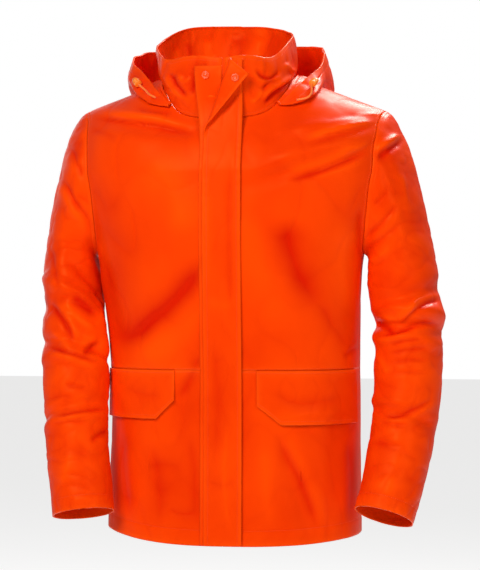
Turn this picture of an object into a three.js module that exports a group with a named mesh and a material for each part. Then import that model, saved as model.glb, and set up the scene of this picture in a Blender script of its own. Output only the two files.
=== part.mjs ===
// A hip-length raincoat with a stand collar, a thrown-back hood, a storm flap and two pocket flaps,
// filled out as if worn. Units are millimetres, +Z is up and the front faces -Y.
// The wearer's left is +X. The origin is where the wearer's neck rises between the shoulders.
import * as THREE from "three";

const { lerp, clamp, degToRad, smoothstep } = THREE.MathUtils;
const V = (x, y, z) => new THREE.Vector3(x, y, z);

// Cloth
const WALL = 1.5;
const SEAM = 0.2; // each piece stops this far short of its seam line

// Heights along the coat
const WAIST_Z = -466;
const HEM_FRONT_Z = -745;
const HEM_SIDE_Z = { left: -733, right: -725 };
const CAP_Z = -150; // above this the body rounds over to the shoulder ridge
const CAP_RISE = 100; // how much of the rise parameter the rounding takes
const RIDGE = CAP_Z + CAP_RISE; // the rise parameter of the shoulder seam

// The body's cross-sections: half-widths on the wearer's right and left, depths to the front and
// back, and how square the section is (2 is an ellipse).
const BODY = [
  { z: -760, right: 210, left: 209, front: 128, back: 130, square: 2.6 },
  { z: -600, right: 205, left: 207, front: 125, back: 121, square: 2.55 },
  { z: -470, right: 205, left: 206, front: 126, back: 114, square: 2.5 },
  { z: -400, right: 211, left: 207, front: 130, back: 116, square: 2.4 },
  { z: -330, right: 221, left: 208, front: 135, back: 122, square: 2.4 },
  { z: -278, right: 227, left: 214, front: 138, back: 128, square: 2.35 },
  { z: -240, right: 236, left: 230, front: 139, back: 132, square: 2.35 },
  { z: -200, right: 247, left: 245, front: 139, back: 135, square: 2.35 },
  { z: -150, right: 258, left: 257, front: 138, back: 136, square: 2.35 },
];

// The shoulder ridge falls away from the neck
const RIDGE_TOP = 53;
const RIDGE_FALL = { left: 0.395, right: 0.38 };
const RIDGE_SOFT = 40; // rounds the ridge off at the back of the neck
const TIP_X = 250; // where the shoulder seam meets the sleeve

const NECK = {
  left: 99, right: 111, frontY: -106, backY: 82, frontSquare: 2.9, backSquare: 2.3, spacing: 1.35,
};
const ARMHOLE = { frontDeep: 72, backDeep: 76, underZ: -280 };

// Soft folds pressed into the body, each along a line from one end to the other as seen from the
// front or the back. Depth is negative for a trough and positive for a ridge.
const BODY_FOLDS = [
  { face: "front", x1: -235, z1: -60, x2: -40, z2: -88, width: 11, depth: -5 },
  { face: "front", x1: -240, z1: -40, x2: -60, z2: -68, width: 12, depth: 3 },
  { face: "front", x1: 236, z1: -108, x2: 45, z2: -172, width: 13, depth: -6 },
  { face: "front", x1: 240, z1: -88, x2: 60, z2: -140, width: 14, depth: 4 },
  { face: "front", x1: 232, z1: -62, x2: 95, z2: -86, width: 9, depth: 4 },
  { face: "front", x1: -44, z1: -300, x2: -120, z2: -460, width: 26, depth: -5 },
  { face: "front", x1: -40, z1: -440, x2: -92, z2: -600, width: 18, depth: -5 },
  { face: "front", x1: 84, z1: -562, x2: 148, z2: -742, width: 16, depth: -6 },
  { face: "front", x1: 190, z1: -470, x2: 178, z2: -742, width: 20, depth: -6 },
  { face: "front", x1: -196, z1: -480, x2: -168, z2: -738, width: 20, depth: -5 },
  { face: "back", x1: -225, z1: -150, x2: -60, z2: -330, width: 20, depth: -6 },
  { face: "back", x1: 225, z1: -165, x2: 70, z2: -320, width: 20, depth: -6 },
  { face: "back", x1: -90, z1: -380, x2: -60, z2: -745, width: 24, depth: -7 },
  { face: "back", x1: 95, z1: -420, x2: 78, z2: -748, width: 26, depth: -7 },
  { face: "back", x1: 8, z1: -330, x2: 14, z2: -748, width: 24, depth: 5 },
  { face: "back", x1: -180, z1: -400, x2: -150, z2: -742, width: 20, depth: -6 },
  { face: "back", x1: 185, z1: -430, x2: 160, z2: -742, width: 20, depth: -6 },
];

// Sleeve rings from under the arm to the cuff: the centre, half-width and half-depth
const SLEEVE_RINGS = {
  left: [
    { z: -322, x: 276, y: 6, wide: 59, deep: 68 },
    { z: -365, x: 283, y: 2, wide: 57, deep: 64 },
    { z: -410, x: 286, y: -4, wide: 56, deep: 60 },
    { z: -470, x: 286, y: -15, wide: 55, deep: 57 },
    { z: -530, x: 284, y: -30, wide: 53.5, deep: 54 },
    { z: -590, x: 276, y: -49, wide: 51.5, deep: 51 },
    { z: -650, x: 265, y: -71, wide: 49.5, deep: 48 },
    { z: -697, x: 253, y: -90, wide: 48.5, deep: 46 },
  ],
  right: [
    { z: -322, x: -270.5, y: 2, wide: 46, deep: 78 },
    { z: -365, x: -268.5, y: -16, wide: 50, deep: 70 },
    { z: -410, x: -262, y: -37, wide: 53, deep: 63 },
    { z: -470, x: -254, y: -60, wide: 54.5, deep: 57 },
    { z: -530, x: -250, y: -78, wide: 52.5, deep: 53 },
    { z: -590, x: -244, y: -95, wide: 51, deep: 50.5 },
    { z: -650, x: -234, y: -110, wide: 50.5, deep: 48 },
    { z: -697, x: -227, y: -123, wide: 50.5, deep: 46 },
  ],
};

// Folds round the sleeves: centre height, the turn they are centred on (0 is outward, 90 is
// forward, 180 is towards the body), how far they reach round, how much they drop per degree,
// their half-width along the sleeve and their depth.
const SLEEVE_FOLDS = {
  left: [
    { z: -352, turn: 60, reach: 120, drop: 0.1, width: 13, depth: -6 },
    { z: -376, turn: 80, reach: 130, drop: -0.12, width: 12, depth: 7 },
    { z: -402, turn: 90, reach: 130, drop: -0.1, width: 10, depth: -8 },
    { z: -424, turn: 100, reach: 120, drop: -0.1, width: 12, depth: 5 },
    { z: -545, turn: 100, reach: 110, drop: -0.16, width: 9, depth: -4 },
    { z: -526, turn: 150, reach: 90, drop: -0.1, width: 12, depth: 4 },
    { z: -390, turn: 250, reach: 80, drop: 0.1, width: 14, depth: -6 },
    { z: -440, turn: 240, reach: 90, drop: 0.12, width: 14, depth: -5 },
    { z: -230, turn: 110, reach: 60, drop: -1.2, width: 12, depth: -5 },
  ],
  right: [
    { z: -352, turn: 70, reach: 110, drop: 0.5, width: 13, depth: 7 },
    { z: -388, turn: 60, reach: 100, drop: 0.35, width: 11, depth: -6 },
    { z: -330, turn: 120, reach: 80, drop: 0.6, width: 12, depth: -6 },
    { z: -440, turn: 90, reach: 130, drop: 0.22, width: 9, depth: -6 },
    { z: -462, turn: 90, reach: 120, drop: 0.1, width: 12, depth: 4 },
    { z: -538, turn: 90, reach: 130, drop: -0.14, width: 9, depth: -5 },
    { z: -556, turn: 80, reach: 120, drop: -0.1, width: 10, depth: 3 },
    { z: -395, turn: 250, reach: 80, drop: -0.1, width: 14, depth: -6 },
    { z: -450, turn: 245, reach: 80, drop: -0.12, width: 14, depth: -5 },
  ],
};

// How strongly the sleeve heads run on outward from the shoulder tips, and drop into the sleeves
const SLEEVE_HEAD = { left: { leave: 128, arrive: 200 }, right: { leave: 146, arrive: 150 } };
const SLEEVE_UNDER = 46; // how strongly the cloth leaves the armhole under the arm
const SLEEVE_HEAD_SHARE = 0.5; // how much of the sleeve's length parameter is its head
const SLEEVE_CAP_ROWS = 9;
const SLEEVE_TUBE_ROWS = 15;

// Collar: the rim's half-widths on each side, its depths and heights, and how far each side sags
const COLLAR = {
  left: 96, right: 129, frontY: -119, backY: 90, square: 2.3, frontZ: 32, backZ: 108, early: 0.6,
  sag: { left: 9, right: 17 }, bulge: 6, rows: 6, end: { left: 5, right: 3 },
};

// Where the rim dips, or rises where deep is negative: degrees round from the centre front
const COLLAR_DIPS = [
  { side: "right", turn: 46, wide: 20, deep: 14 },
  { side: "right", turn: 134, wide: 28, deep: -9 },
  { side: "left", turn: 46, wide: 22, deep: 17 },
];

// The front closure: the storm flap with its top folded back over a sloping line, and the strip
// under it. x runs across the front and z up it; both are flat sizes.
const STORM_FLAP = {
  attachedX: 31, freeX: -30, topZ: 30, out: 5, roll: 4.5, lift: 0.1,
  foldX1: -30, foldZ1: -105, foldX2: 19, columns: 11, topRows: 30, rows: 11, splitZ: -150,
};
const SNAP_STRIP = {
  attachedX: -36, slant: 11, freeX: -2, topZ: 19, out: 2.4, columns: 4, topRows: 15, rows: 12, splitZ: -170,
};

// Pocket flaps: the inner end, how far round they reach, and the two drops of the sloped end
const POCKETS = {
  right: { innerX: -78, outerTurn: 79, innerDrop: 48, drop: 78, slope: 0.15 },
  left: { innerX: 54, outerTurn: 79, innerDrop: 56, drop: 86, slope: 0.15 },
};
const POCKET_FLAP = { columns: 12, rows: 4, out: 1.2, lift: 3 };

// Hood sections from the front end round to the centre back, measured out from and up from the
// neck seam: where it lies on the coat, the lowest fold, the fullest part and the rim.
const HOOD = [
  { turn: 46, midOut: 3, midUp: 0, footOut: 5, footUp: 0,
    bellyOut: 6, bellyUp: 2, rimOut: 5, rimUp: 3 },
  { turn: 53, midOut: 8, midUp: -3, footOut: 15, footUp: -8,
    bellyOut: 18, bellyUp: -5, rimOut: 7, rimUp: 6 },
  { turn: 60, midOut: 12, midUp: -5, footOut: 25, footUp: -11,
    bellyOut: 31, bellyUp: -6, rimOut: 10, rimUp: 10 },
  { turn: 72, midOut: 16, midUp: -6, footOut: 34, footUp: -11,
    bellyOut: 41, bellyUp: -5, rimOut: 19, rimUp: 17 },
  { turn: 82, midOut: 20, midUp: -5, footOut: 41, footUp: -8,
    bellyOut: 50, bellyUp: -1, rimOut: 35, rimUp: 26 },
  { turn: 90, midOut: 24, midUp: -5, footOut: 46, footUp: -9,
    bellyOut: 58, bellyUp: 4, rimOut: 51, rimUp: 32 },
  { turn: 105, midOut: 30, midUp: -8, footOut: 56, footUp: -18,
    bellyOut: 74, bellyUp: 0, rimOut: 60, rimUp: 46 },
  { turn: 125, midOut: 42, midUp: -18, footOut: 78, footUp: -64,
    bellyOut: 100, bellyUp: -24, rimOut: 66, rimUp: 61 },
  { turn: 150, midOut: 50, midUp: -54, footOut: 76, footUp: -168,
    bellyOut: 114, bellyUp: -92, rimOut: 68, rimUp: 68 },
  { turn: 180, midOut: 54, midUp: -84, footOut: 78, footUp: -212,
    bellyOut: 116, bellyUp: -118, rimOut: 70, rimUp: 66 },
];

// How much wider or narrower each side lies than the sections give
const HOOD_REACH = [
  { turn: 46, left: 1.3, right: 1 },
  { turn: 66, left: 1.25, right: 1 },
  { turn: 78, left: 1, right: 1.05 },
  { turn: 90, left: 0.76, right: 1.1 },
  { turn: 100, left: 0.72, right: 1.1 },
  { turn: 175, left: 1, right: 1 },
];

// How much higher or lower each side's rim lies, and the share of it that the rest takes
const HOOD_LIFT = [
  { turn: 46, left: -3, right: -3 },
  { turn: 60, left: -6, right: -7 },
  { turn: 72, left: -8, right: -7 },
  { turn: 84, left: -14, right: -4 },
  { turn: 94, left: -12, right: 0 },
  { turn: 106, left: -1, right: 2 },
  { turn: 180, left: 0, right: 0 },
];
const HOOD_LIFT_SHARE = { mid: 0, foot: 0.55, belly: 0.65, rim: 1 };
const HOOD_OFF_COLLAR = { front: 3, side: 5 };
const HOOD_START_UP = 2.6;
const HOOD_OFF_COAT = 6.8;
const HOOD_CENTRE_GAP = 0.12; // degrees that each half stops short of the centre back
const HOOD_COLUMNS = 14;
const HOOD_ROWS = 13;

// The free ends of the hood's draw cord, by their places on the hood: degrees round the neck seam,
// the share of the way from the seam to the rim, and the distance off the cloth.
const CORD = { radius: 1.5, sides: 8, steps: 12 };
const CORD_PATHS = {
  right: [
    { turn: 68, share: 0.88, off: 2.1 },
    { turn: 63, share: 0.88, off: 2 },
    { turn: 58, share: 0.9, off: 2 },
  ],
  left: [
    { turn: 65, share: 0.8, off: 2.1 },
    { turn: 61, share: 0.76, off: 1.9 },
    { turn: 56, share: 0.8, off: 1.9 },
  ],
};
const LOCK = { body: 6.2, length: 13, button: 4.2, buttonLength: 4.5, round: 1.4, sides: 10 };
const LOCK_AT = {
  right: { turn: 76, share: 0.87, off: 6.1 },
  left: { turn: 72.5, share: 0.88, off: 5.9 },
};

const SNAP = { radius: 6.4, tall: 2.4, dome: 1, cup: 3.2, sides: 12 };
const TOUCH = 0.35; // air between a hard part and the cloth that carries it
const STUD_AT = { x: -28, z: 4 };
const SOCKET_AT = { x: -17, z: 12 };

// How finely each kind of piece is divided
const ARM_STEPS = 12; // from the shoulder tip to the underarm, along one side of the armhole
const SIDE_STEPS = 5;
const NECK_STEPS = 7;
const SHOULDER_STEPS = 8;
const FRONT_STEPS = NECK_STEPS + SHOULDER_STEPS;
const HEM_STEPS = 7;

const MATERIALS = {
  shell: new THREE.MeshStandardMaterial({ color: 0xff4600, roughness: 0.42, metalness: 0 }),
  cord: new THREE.MeshStandardMaterial({ color: 0xff7a14, roughness: 0.6, metalness: 0 }),
  plastic: new THREE.MeshStandardMaterial({ color: 0xff8a1c, roughness: 0.35, metalness: 0 }),
};

const raincoat = new THREE.Group();

// Reads one column of a table between its rows, on a smooth curve through them.
function column(rows, key, along, at) {
  let i = 0;
  while (i < rows.length - 2 && at > rows[i + 1][along]) i++;
  const slope = (k) => {
    const a = rows[Math.max(k - 1, 0)];
    const b = rows[Math.min(k + 1, rows.length - 1)];
    return (b[key] - a[key]) / (b[along] - a[along]);
  };
  const span = rows[i + 1][along] - rows[i][along];
  const t = clamp((at - rows[i][along]) / span, 0, 1);
  const start = rows[i][key] + slope(i) * span * t * (1 - t) ** 2;
  const rise = (rows[i + 1][key] - rows[i][key]) * t * t * (3 - 2 * t);
  return start + rise - slope(i + 1) * span * (1 - t) * t * t;
}

// The place between low and high where a falling function reaches zero.
function solve(fall, low, high) {
  for (let i = 0; i < 48; i++) {
    const middle = (low + high) / 2;
    if (fall(middle) > 0) low = middle;
    else high = middle;
  }
  return (low + high) / 2;
}

const bend = (value, power) => Math.sign(value) * Math.abs(value) ** power;
const signOf = (side) => (side === "left" ? 1 : -1);
const sideOf = (x) => (x < 0 ? "right" : "left");
const quarter = Math.PI / 2;
const ridgeFall = (x) => lerp(RIDGE_FALL.right, RIDGE_FALL.left, smoothstep(x, -60, 60));
const ridgeZ = (x) => RIDGE_TOP - ridgeFall(x) * Math.hypot(x, RIDGE_SOFT);
// How square the shoulders are from front to back: at the neck in front and behind, and at the tips
const CAP_ROUND = { front: 1.5, back: 2.5, tip: 2.1 };
const capRound = (x, front) =>
  front
    ? lerp(CAP_ROUND.front, CAP_ROUND.tip, smoothstep(Math.abs(x), 70, 170))
    : lerp(CAP_ROUND.back, CAP_ROUND.tip, smoothstep(Math.abs(x), 0, 200));

// A point of the smooth body. turn is 0 at the centre front, 90 degrees at the wearer's left side
// and 180 at the back. rise is the height, and past CAP_Z it goes on over the shoulder to RIDGE.
function bodyPoint(turn, rise) {
  const z = Math.min(rise, CAP_Z);
  const power = 2 / column(BODY, "square", "z", z);
  const s = Math.sin(turn);
  const c = Math.cos(turn);
  const x = column(BODY, s < 0 ? "right" : "left", "z", z) * bend(s, power);
  const y = -column(BODY, c > 0 ? "front" : "back", "z", z) * bend(c, power);
  if (rise <= CAP_Z) return V(x, y, z);
  const lift = Math.min((rise - CAP_Z) / CAP_RISE, 1) * quarter;
  const round = 2 / capRound(x, c > 0);
  const up = Math.sin(lift) ** round;
  const keep = Math.max(Math.cos(lift), 0) ** round;
  return V(x, y * keep, CAP_Z + (ridgeZ(x) - CAP_Z) * up);
}

// The turn of the body's point at x on the section at z.
function turnAt(x, z, front) {
  const low = Math.min(z, CAP_Z);
  const share = clamp(Math.abs(x) / column(BODY, sideOf(x), "z", low), 0, 1);
  const turn = Math.asin(share ** (column(BODY, "square", "z", low) / 2));
  return Math.sign(x) * (front ? turn : Math.PI - turn);
}

// The turn and rise of the body's point at x and z on its front or back.
function bodyAt(x, z, front) {
  const turn = turnAt(x, z, front);
  if (z <= CAP_Z) return { turn, rise: z };
  const up = clamp((z - CAP_Z) / (ridgeZ(x) - CAP_Z), 0, 1);
  return { turn, rise: CAP_Z + (CAP_RISE * Math.asin(up ** (capRound(x, front) / 2))) / quarter };
}

// The turn and rise of the point of the shoulders over x and y.
function capAt(x, y) {
  const turn = turnAt(x, CAP_Z, y < 0);
  const depth = Math.abs(bodyPoint(turn, CAP_Z).y);
  const keep = clamp(Math.abs(y) / depth, 0, 1);
  return { turn, rise: CAP_Z + (CAP_RISE * Math.acos(keep ** (capRound(x, y < 0) / 2))) / quarter };
}

// The turn and rise of a point of the armhole. angle is 0 at the shoulder tip and PI underarm.
function armholeAt(side, angle, front) {
  const sign = signOf(side);
  const z = lerp(ARMHOLE.underZ, ridgeZ(sign * TIP_X), (1 + Math.cos(angle)) / 2);
  const deep = (front ? ARMHOLE.frontDeep : ARMHOLE.backDeep) * Math.sin(angle);
  const farX = z > CAP_Z ? Math.sqrt(((RIDGE_TOP - z) / RIDGE_FALL[side]) ** 2 - RIDGE_SOFT ** 2) : Infinity;
  const most = Math.min(farX, column(BODY, side, "z", Math.min(z, CAP_Z)));
  const depthAt = (x) => {
    const { turn, rise } = bodyAt(sign * x, z, front);
    return Math.abs(bodyPoint(turn, rise).y);
  };
  const x = angle < 1e-6 ? TIP_X : solve((value) => depthAt(value) - deep, 150, most);
  return bodyAt(sign * x, z, front);
}

// The turn and rise of the neck seam. angle is 0 at the centre front, PI at the centre back, and
// outside is how far outside the seam the point lies.
function neckAt(side, angle, outside = 0) {
  const front = angle <= quarter;
  const power = 2 / (front ? NECK.frontSquare : NECK.backSquare);
  const x = signOf(side) * (NECK[side] + outside) * Math.abs(Math.sin(angle)) ** power;
  const y = (front ? NECK.frontY - outside : NECK.backY + outside) * Math.abs(Math.cos(angle)) ** power;
  return capAt(x, front ? Math.min(y, -1e-9) : Math.max(y, 1e-9));
}

// How far the folds move the body's surface out at a point.
function bodyFold(point, front) {
  const face = front ? "front" : "back";
  let out = 0;
  for (const fold of BODY_FOLDS) {
    if (fold.face !== face) continue;
    const dx = fold.x2 - fold.x1;
    const dz = fold.z2 - fold.z1;
    const t = ((point.x - fold.x1) * dx + (point.z - fold.z1) * dz) / (dx * dx + dz * dz);
    const near = clamp(t, 0, 1);
    const off = Math.hypot(point.x - fold.x1 - near * dx, point.z - fold.z1 - near * dz);
    const ends = smoothstep(near, 0, 0.3) * (1 - smoothstep(near, 0.7, 1));
    out += fold.depth * Math.exp(-((off / fold.width) ** 2)) * (0.25 + 0.75 * ends);
  }
  return out;
}

const NUDGE = 1e-3; // a small step of turn for measuring slopes
const TOP_SETTLE = 4; // how late the rows of a panel take up the shape of its top edge

// The outward normal of a surface given as a function of two parameters.
function normalOf(surface, a, b, step = NUDGE) {
  const along = surface(a + step, b).sub(surface(a - step, b));
  const up = surface(a, b + step).sub(surface(a, b - step));
  return along.cross(up).normalize();
}

// A point of the coat's outer surface, moved out by the given amount.
function coatPoint({ turn, rise }, out = 0) {
  const top = Math.min(rise, RIDGE - 0.6);
  const point = bodyPoint(turn, rise);
  const across = bodyPoint(turn + NUDGE, top).sub(bodyPoint(turn - NUDGE, top));
  const upward = bodyPoint(turn, top + 0.5).sub(bodyPoint(turn, top - 0.5));
  const normal = across.cross(upward).normalize();
  const quiet = smoothstep(rise, RIDGE - 12, RIDGE);
  const calm = (1 - quiet) * smoothstep(Math.abs(Math.cos(turn)), 0.02, 0.3);
  const fold = bodyFold(point, Math.cos(turn) > 0) * calm;
  return point.addScaledVector(normal, fold + out);
}

// A patch of turns and rises from a bottom edge up to a top one. Its rows run level and take up
// the top edge's shape only near it. The side edges bend the columns within reach of them.
function patch({ bottom, top, start, end, reach }) {
  const pull = (away) => Math.max(1 - away / reach, 0) ** 1.5;
  const straight = {
    turn: (u, v) => lerp(bottom(u).turn, top(u).turn, v),
    rise: (u, v) => lerp(bottom(u).rise, RIDGE, v) + (top(u).rise - RIDGE) * v ** TOP_SETTLE,
  };
  const mix = (u, v, key) => {
    const atEnd = pull(1 - u) * (end(v)[key] - straight[key](1, v));
    const atStart = start ? pull(u) * (start(v)[key] - straight[key](0, v)) : 0;
    return straight[key](u, v) + atStart + atEnd;
  };
  return (u, v) => ({ turn: mix(u, v, "turn"), rise: mix(u, v, "rise") });
}

// A closed thin wall under a surface: outer points, inner points and rims round the edges.
function wall(surface, across, along, closed = false) {
  const columns = closed ? across : across + 1;
  const eps = 1e-4;
  const points = [];
  const inner = [];
  for (let j = 0; j <= along; j++) {
    for (let i = 0; i < columns; i++) {
      const u = i / across;
      const v = j / along;
      const u0 = closed ? u - eps : Math.max(u - eps, 0);
      const u1 = closed ? u + eps : Math.min(u + eps, 1);
      const rowU = surface(u1, v).sub(surface(u0, v));
      const rowV = surface(u, Math.min(v + eps, 1)).sub(surface(u, Math.max(v - eps, 0)));
      const normal = rowU.cross(rowV).normalize();
      const point = surface(u, v);
      points.push(point);
      inner.push(point.clone().addScaledVector(normal, -WALL));
    }
  }
  const count = points.length;
  const at = (i, j, side) => side * count + j * columns + (i % columns);
  const index = [];
  const quad = (a, b, c, d) => index.push(a, b, c, a, c, d);
  for (let j = 0; j < along; j++) {
    for (let i = 0; i < across; i++) {
      quad(at(i, j, 0), at(i + 1, j, 0), at(i + 1, j + 1, 0), at(i, j + 1, 0));
      quad(at(i, j, 1), at(i, j + 1, 1), at(i + 1, j + 1, 1), at(i + 1, j, 1));
    }
  }
  for (let i = 0; i < across; i++) {
    quad(at(i, 0, 1), at(i + 1, 0, 1), at(i + 1, 0, 0), at(i, 0, 0));
    quad(at(i, along, 0), at(i + 1, along, 0), at(i + 1, along, 1), at(i, along, 1));
  }
  for (let j = 0; j < along && !closed; j++) {
    quad(at(0, j, 1), at(0, j, 0), at(0, j + 1, 0), at(0, j + 1, 1));
    quad(at(across, j, 0), at(across, j, 1), at(across, j + 1, 1), at(across, j + 1, 0));
  }
  const geometry = new THREE.BufferGeometry();
  const flat = [...points, ...inner].flatMap((p) => [p.x, p.y, p.z]);
  geometry.setAttribute("position", new THREE.Float32BufferAttribute(flat, 3));
  geometry.setIndex(index);
  geometry.computeVertexNormals();
  return geometry;
}

function add(name, geometry, material) {
  const mesh = new THREE.Mesh(geometry, material);
  mesh.name = name;
  raincoat.add(mesh);
  return mesh;
}

// Rough widths and heights of the panels, for how far their edges stop short of the seam lines
const PANEL = { width: 290, skirtWidth: 270, backWidth: 520, height: 440, skirtHeight: 280, backHeight: 720 };
const COLLAR_HEIGHT = 88;
const inset = (t, length) => SEAM / length + t * (1 - (2 * SEAM) / length);

// Panels between the seams. Each function of u and v gives a point of the coat's surface, and
// mirrored panels swap the direction of u so that their faces point out.
const hemZ = (turn) => lerp(HEM_SIDE_Z[sideOf(Math.sin(turn))], HEM_FRONT_Z, Math.cos(turn) ** 2);

function sideEdge(side, front) {
  const under = ARMHOLE.underZ;
  const share = SIDE_STEPS / (SIDE_STEPS + ARM_STEPS);
  return (v) =>
    v <= share
      ? { turn: signOf(side) * quarter, rise: lerp(WAIST_Z, under, v / share) }
      : armholeAt(side, Math.PI * (1 - (v - share) / (1 - share)), front);
}

function shoulderPoint(side, t) {
  return capAt(signOf(side) * lerp(NECK[side] + SEAM, TIP_X, t), -1e-9);
}

// The neck seam's angle at a share of its front quarter, so that stations are evenly spaced.
const neckStation = (share) => quarter * (1 - (1 - share) ** NECK.spacing);

// The columns of the front panels: their turn at the shoulder and neck, carried down to the hem.
const neckShare = NECK_STEPS / FRONT_STEPS;
const NECK_COLUMNS_END = degToRad(31);
function frontTop(side, u) {
  if (u <= neckShare) return neckAt(side, neckStation(u / neckShare), SEAM);
  return shoulderPoint(side, (u - neckShare) / (1 - neckShare));
}
function frontTurn(side, u) {
  const spread = NECK_COLUMNS_END / Math.abs(shoulderPoint(side, 0).turn);
  if (u <= neckShare) return frontTop(side, u).turn * spread;
  return signOf(side) * lerp(NECK_COLUMNS_END, quarter, (u - neckShare) / (1 - neckShare));
}

function upperFront(side) {
  const area = patch({
    bottom: (u) => ({ turn: frontTurn(side, u), rise: WAIST_Z }),
    top: (u) => frontTop(side, u),
    end: sideEdge(side, true),
    reach: 1 - neckShare,
  });
  return (u, v) => coatPoint(area(inset(u, PANEL.width), inset(v, PANEL.height)));
}

function lowerFront(side) {
  return (u, v) => {
    const turn = frontTurn(side, inset(u, PANEL.skirtWidth));
    return coatPoint({ turn, rise: lerp(hemZ(turn), WAIST_Z, inset(v, PANEL.skirtHeight)) });
  };
}

// The back runs from the wearer's left side seam round to the right one.
function backPanel() {
  const around = (side, { turn, rise }) => ({ turn: side === "left" ? turn : turn + 2 * Math.PI, rise });
  const backTip = (side, t) => capAt(signOf(side) * lerp(NECK[side] + SEAM, TIP_X, t), 1e-9);
  const top = (u) => {
    const side = u < 0.5 ? "left" : "right";
    const half = 2 * Math.min(u, 1 - u);
    if (half < 1 - neckShare) return around(side, backTip(side, 1 - half / (1 - neckShare)));
    const angle = lerp(quarter + 1e-6, Math.PI, (half - 1 + neckShare) / neckShare);
    return around(side, neckAt(side, angle, SEAM));
  };
  const rows = HEM_STEPS + SIDE_STEPS + ARM_STEPS;
  const edge = (side) => (v) => {
    const row = v * rows;
    if (row > HEM_STEPS + SIDE_STEPS) {
      return around(side, armholeAt(side, Math.PI * (1 - (row - HEM_STEPS - SIDE_STEPS) / ARM_STEPS), false));
    }
    const skirt = lerp(HEM_SIDE_Z[side], WAIST_Z, row / HEM_STEPS);
    const waist = lerp(WAIST_Z, ARMHOLE.underZ, (row - HEM_STEPS) / SIDE_STEPS);
    return { turn: side === "left" ? quarter : 3 * quarter, rise: row < HEM_STEPS ? skirt : waist };
  };
  const hem = (u) => {
    const half = Math.PI - frontTurn("left", 1 - 2 * Math.min(u, 1 - u));
    const turn = u < 0.5 ? half : 2 * Math.PI - half;
    return { turn, rise: hemZ(turn) };
  };
  const reach = (1 - neckShare) / 2;
  const area = patch({ bottom: hem, top, start: edge("left"), end: edge("right"), reach });
  return (u, v) => coatPoint(area(inset(u, PANEL.backWidth), inset(v, PANEL.backHeight)));
}

for (const side of ["right", "left"]) {
  const facing = (surface) => (side === "left" ? surface : (u, v) => surface(1 - u, v));
  const upper = wall(facing(upperFront(side)), FRONT_STEPS, SIDE_STEPS + ARM_STEPS);
  const lower = wall(facing(lowerFront(side)), FRONT_STEPS, HEM_STEPS);
  add(`front_${side}_upper`, upper, MATERIALS.shell);
  add(`front_${side}_lower`, lower, MATERIALS.shell);
}
add("back", wall(backPanel(), 2 * FRONT_STEPS, HEM_STEPS + SIDE_STEPS + ARM_STEPS), MATERIALS.shell);

// Sleeves. turn is 0 outward, 90 degrees forward, 180 towards the body and 270 backward.
function sleeve(side) {
  const sign = signOf(side);
  const rings = SLEEVE_RINGS[side].slice().reverse(); // upwards, so that z grows
  const centre = (z) => V(column(rings, "x", "z", z), column(rings, "y", "z", z), z);
  const topZ = SLEEVE_RINGS[side][0].z;
  const cuffZ = rings[0].z;
  const frameAt = (z) => {
    const down = centre(Math.max(z - 4, cuffZ)).sub(centre(Math.min(z + 4, topZ))).normalize();
    const out = V(sign, 0, 0).addScaledVector(down, -down.x * sign).normalize();
    const fore = out.clone().cross(down).multiplyScalar(sign);
    return { down, out, fore: fore.y > 0 ? fore.negate() : fore };
  };
  const ringPoint = (turn, z) => {
    const { out, fore } = frameAt(z);
    let swell = 0;
    for (const fold of SLEEVE_FOLDS[side]) {
      const degrees = THREE.MathUtils.radToDeg(turn);
      const around = ((degrees - fold.turn + 540) % 360) - 180;
      const along = (z - fold.z + around * fold.drop) / fold.width;
      const reach = 1 - smoothstep(Math.abs(around), fold.reach * 0.35, fold.reach);
      swell += fold.depth * Math.exp(-along * along) * reach;
    }
    const fade = 1 - smoothstep(z, topZ - 10, topZ + 60);
    const edge = smoothstep(z, cuffZ, cuffZ + 40);
    const wide = column(rings, "wide", "z", z) + swell * edge * fade;
    const deep = column(rings, "deep", "z", z) + swell * edge * fade;
    const point = centre(z).addScaledVector(out, wide * Math.cos(turn));
    return point.addScaledVector(fore, deep * Math.sin(turn));
  };
  const armhole = (turn) => {
    const front = turn <= Math.PI;
    return coatPoint(armholeAt(side, front ? turn : 2 * Math.PI - turn, front));
  };
  // From the armhole the cloth leaves along its own slope and ends running down the arm.
  const leave = (turn) => {
    const under = (1 - Math.cos(turn)) / 2;
    const strength = lerp(SLEEVE_HEAD[side].leave, SLEEVE_UNDER, under);
    const away = V(sign * lerp(0.93, 0.95, under), -0.12 * Math.sin(turn), lerp(-0.37, -0.3, under));
    return away.multiplyScalar(strength);
  };
  return (u, v) => {
    const turn = ((u % 1) + 1) % 1 * 2 * Math.PI;
    const t = v / SLEEVE_HEAD_SHARE;
    if (t >= 1) return ringPoint(turn, lerp(topZ, cuffZ, (v - SLEEVE_HEAD_SHARE) / (1 - SLEEVE_HEAD_SHARE)));
    const from = armhole(turn);
    const away = leave(turn);
    from.addScaledVector(away.clone().normalize(), SEAM * 1.5);
    const to = ringPoint(turn, topZ);
    const { down } = frameAt(topZ - 6);
    const arrive = down.clone().multiplyScalar(lerp(SLEEVE_HEAD[side].arrive, 40, (1 - Math.cos(turn)) / 2));
    const a = (1 + 2 * t) * (1 - t) ** 2;
    const b = t * (1 - t) ** 2;
    const c = t * t * (3 - 2 * t);
    const d = t * t * (t - 1);
    return from.multiplyScalar(a).addScaledVector(away, b).addScaledVector(to, c).addScaledVector(arrive, d);
  };
}

for (const side of ["right", "left"]) {
  const surface = sleeve(side);
  const rows = SLEEVE_CAP_ROWS + SLEEVE_TUBE_ROWS;
  const along = (row) => {
    if (row < SLEEVE_CAP_ROWS) return (row / SLEEVE_CAP_ROWS) * SLEEVE_HEAD_SHARE;
    return lerp(SLEEVE_HEAD_SHARE, 1, (row - SLEEVE_CAP_ROWS) / SLEEVE_TUBE_ROWS);
  };
  const upward = (u, v) => surface(side === "left" ? 1 - u : u, along(rows * (1 - v)));
  add(`sleeve_${side}`, wall(upward, 2 * ARM_STEPS, rows, true), MATERIALS.shell);
}

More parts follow.
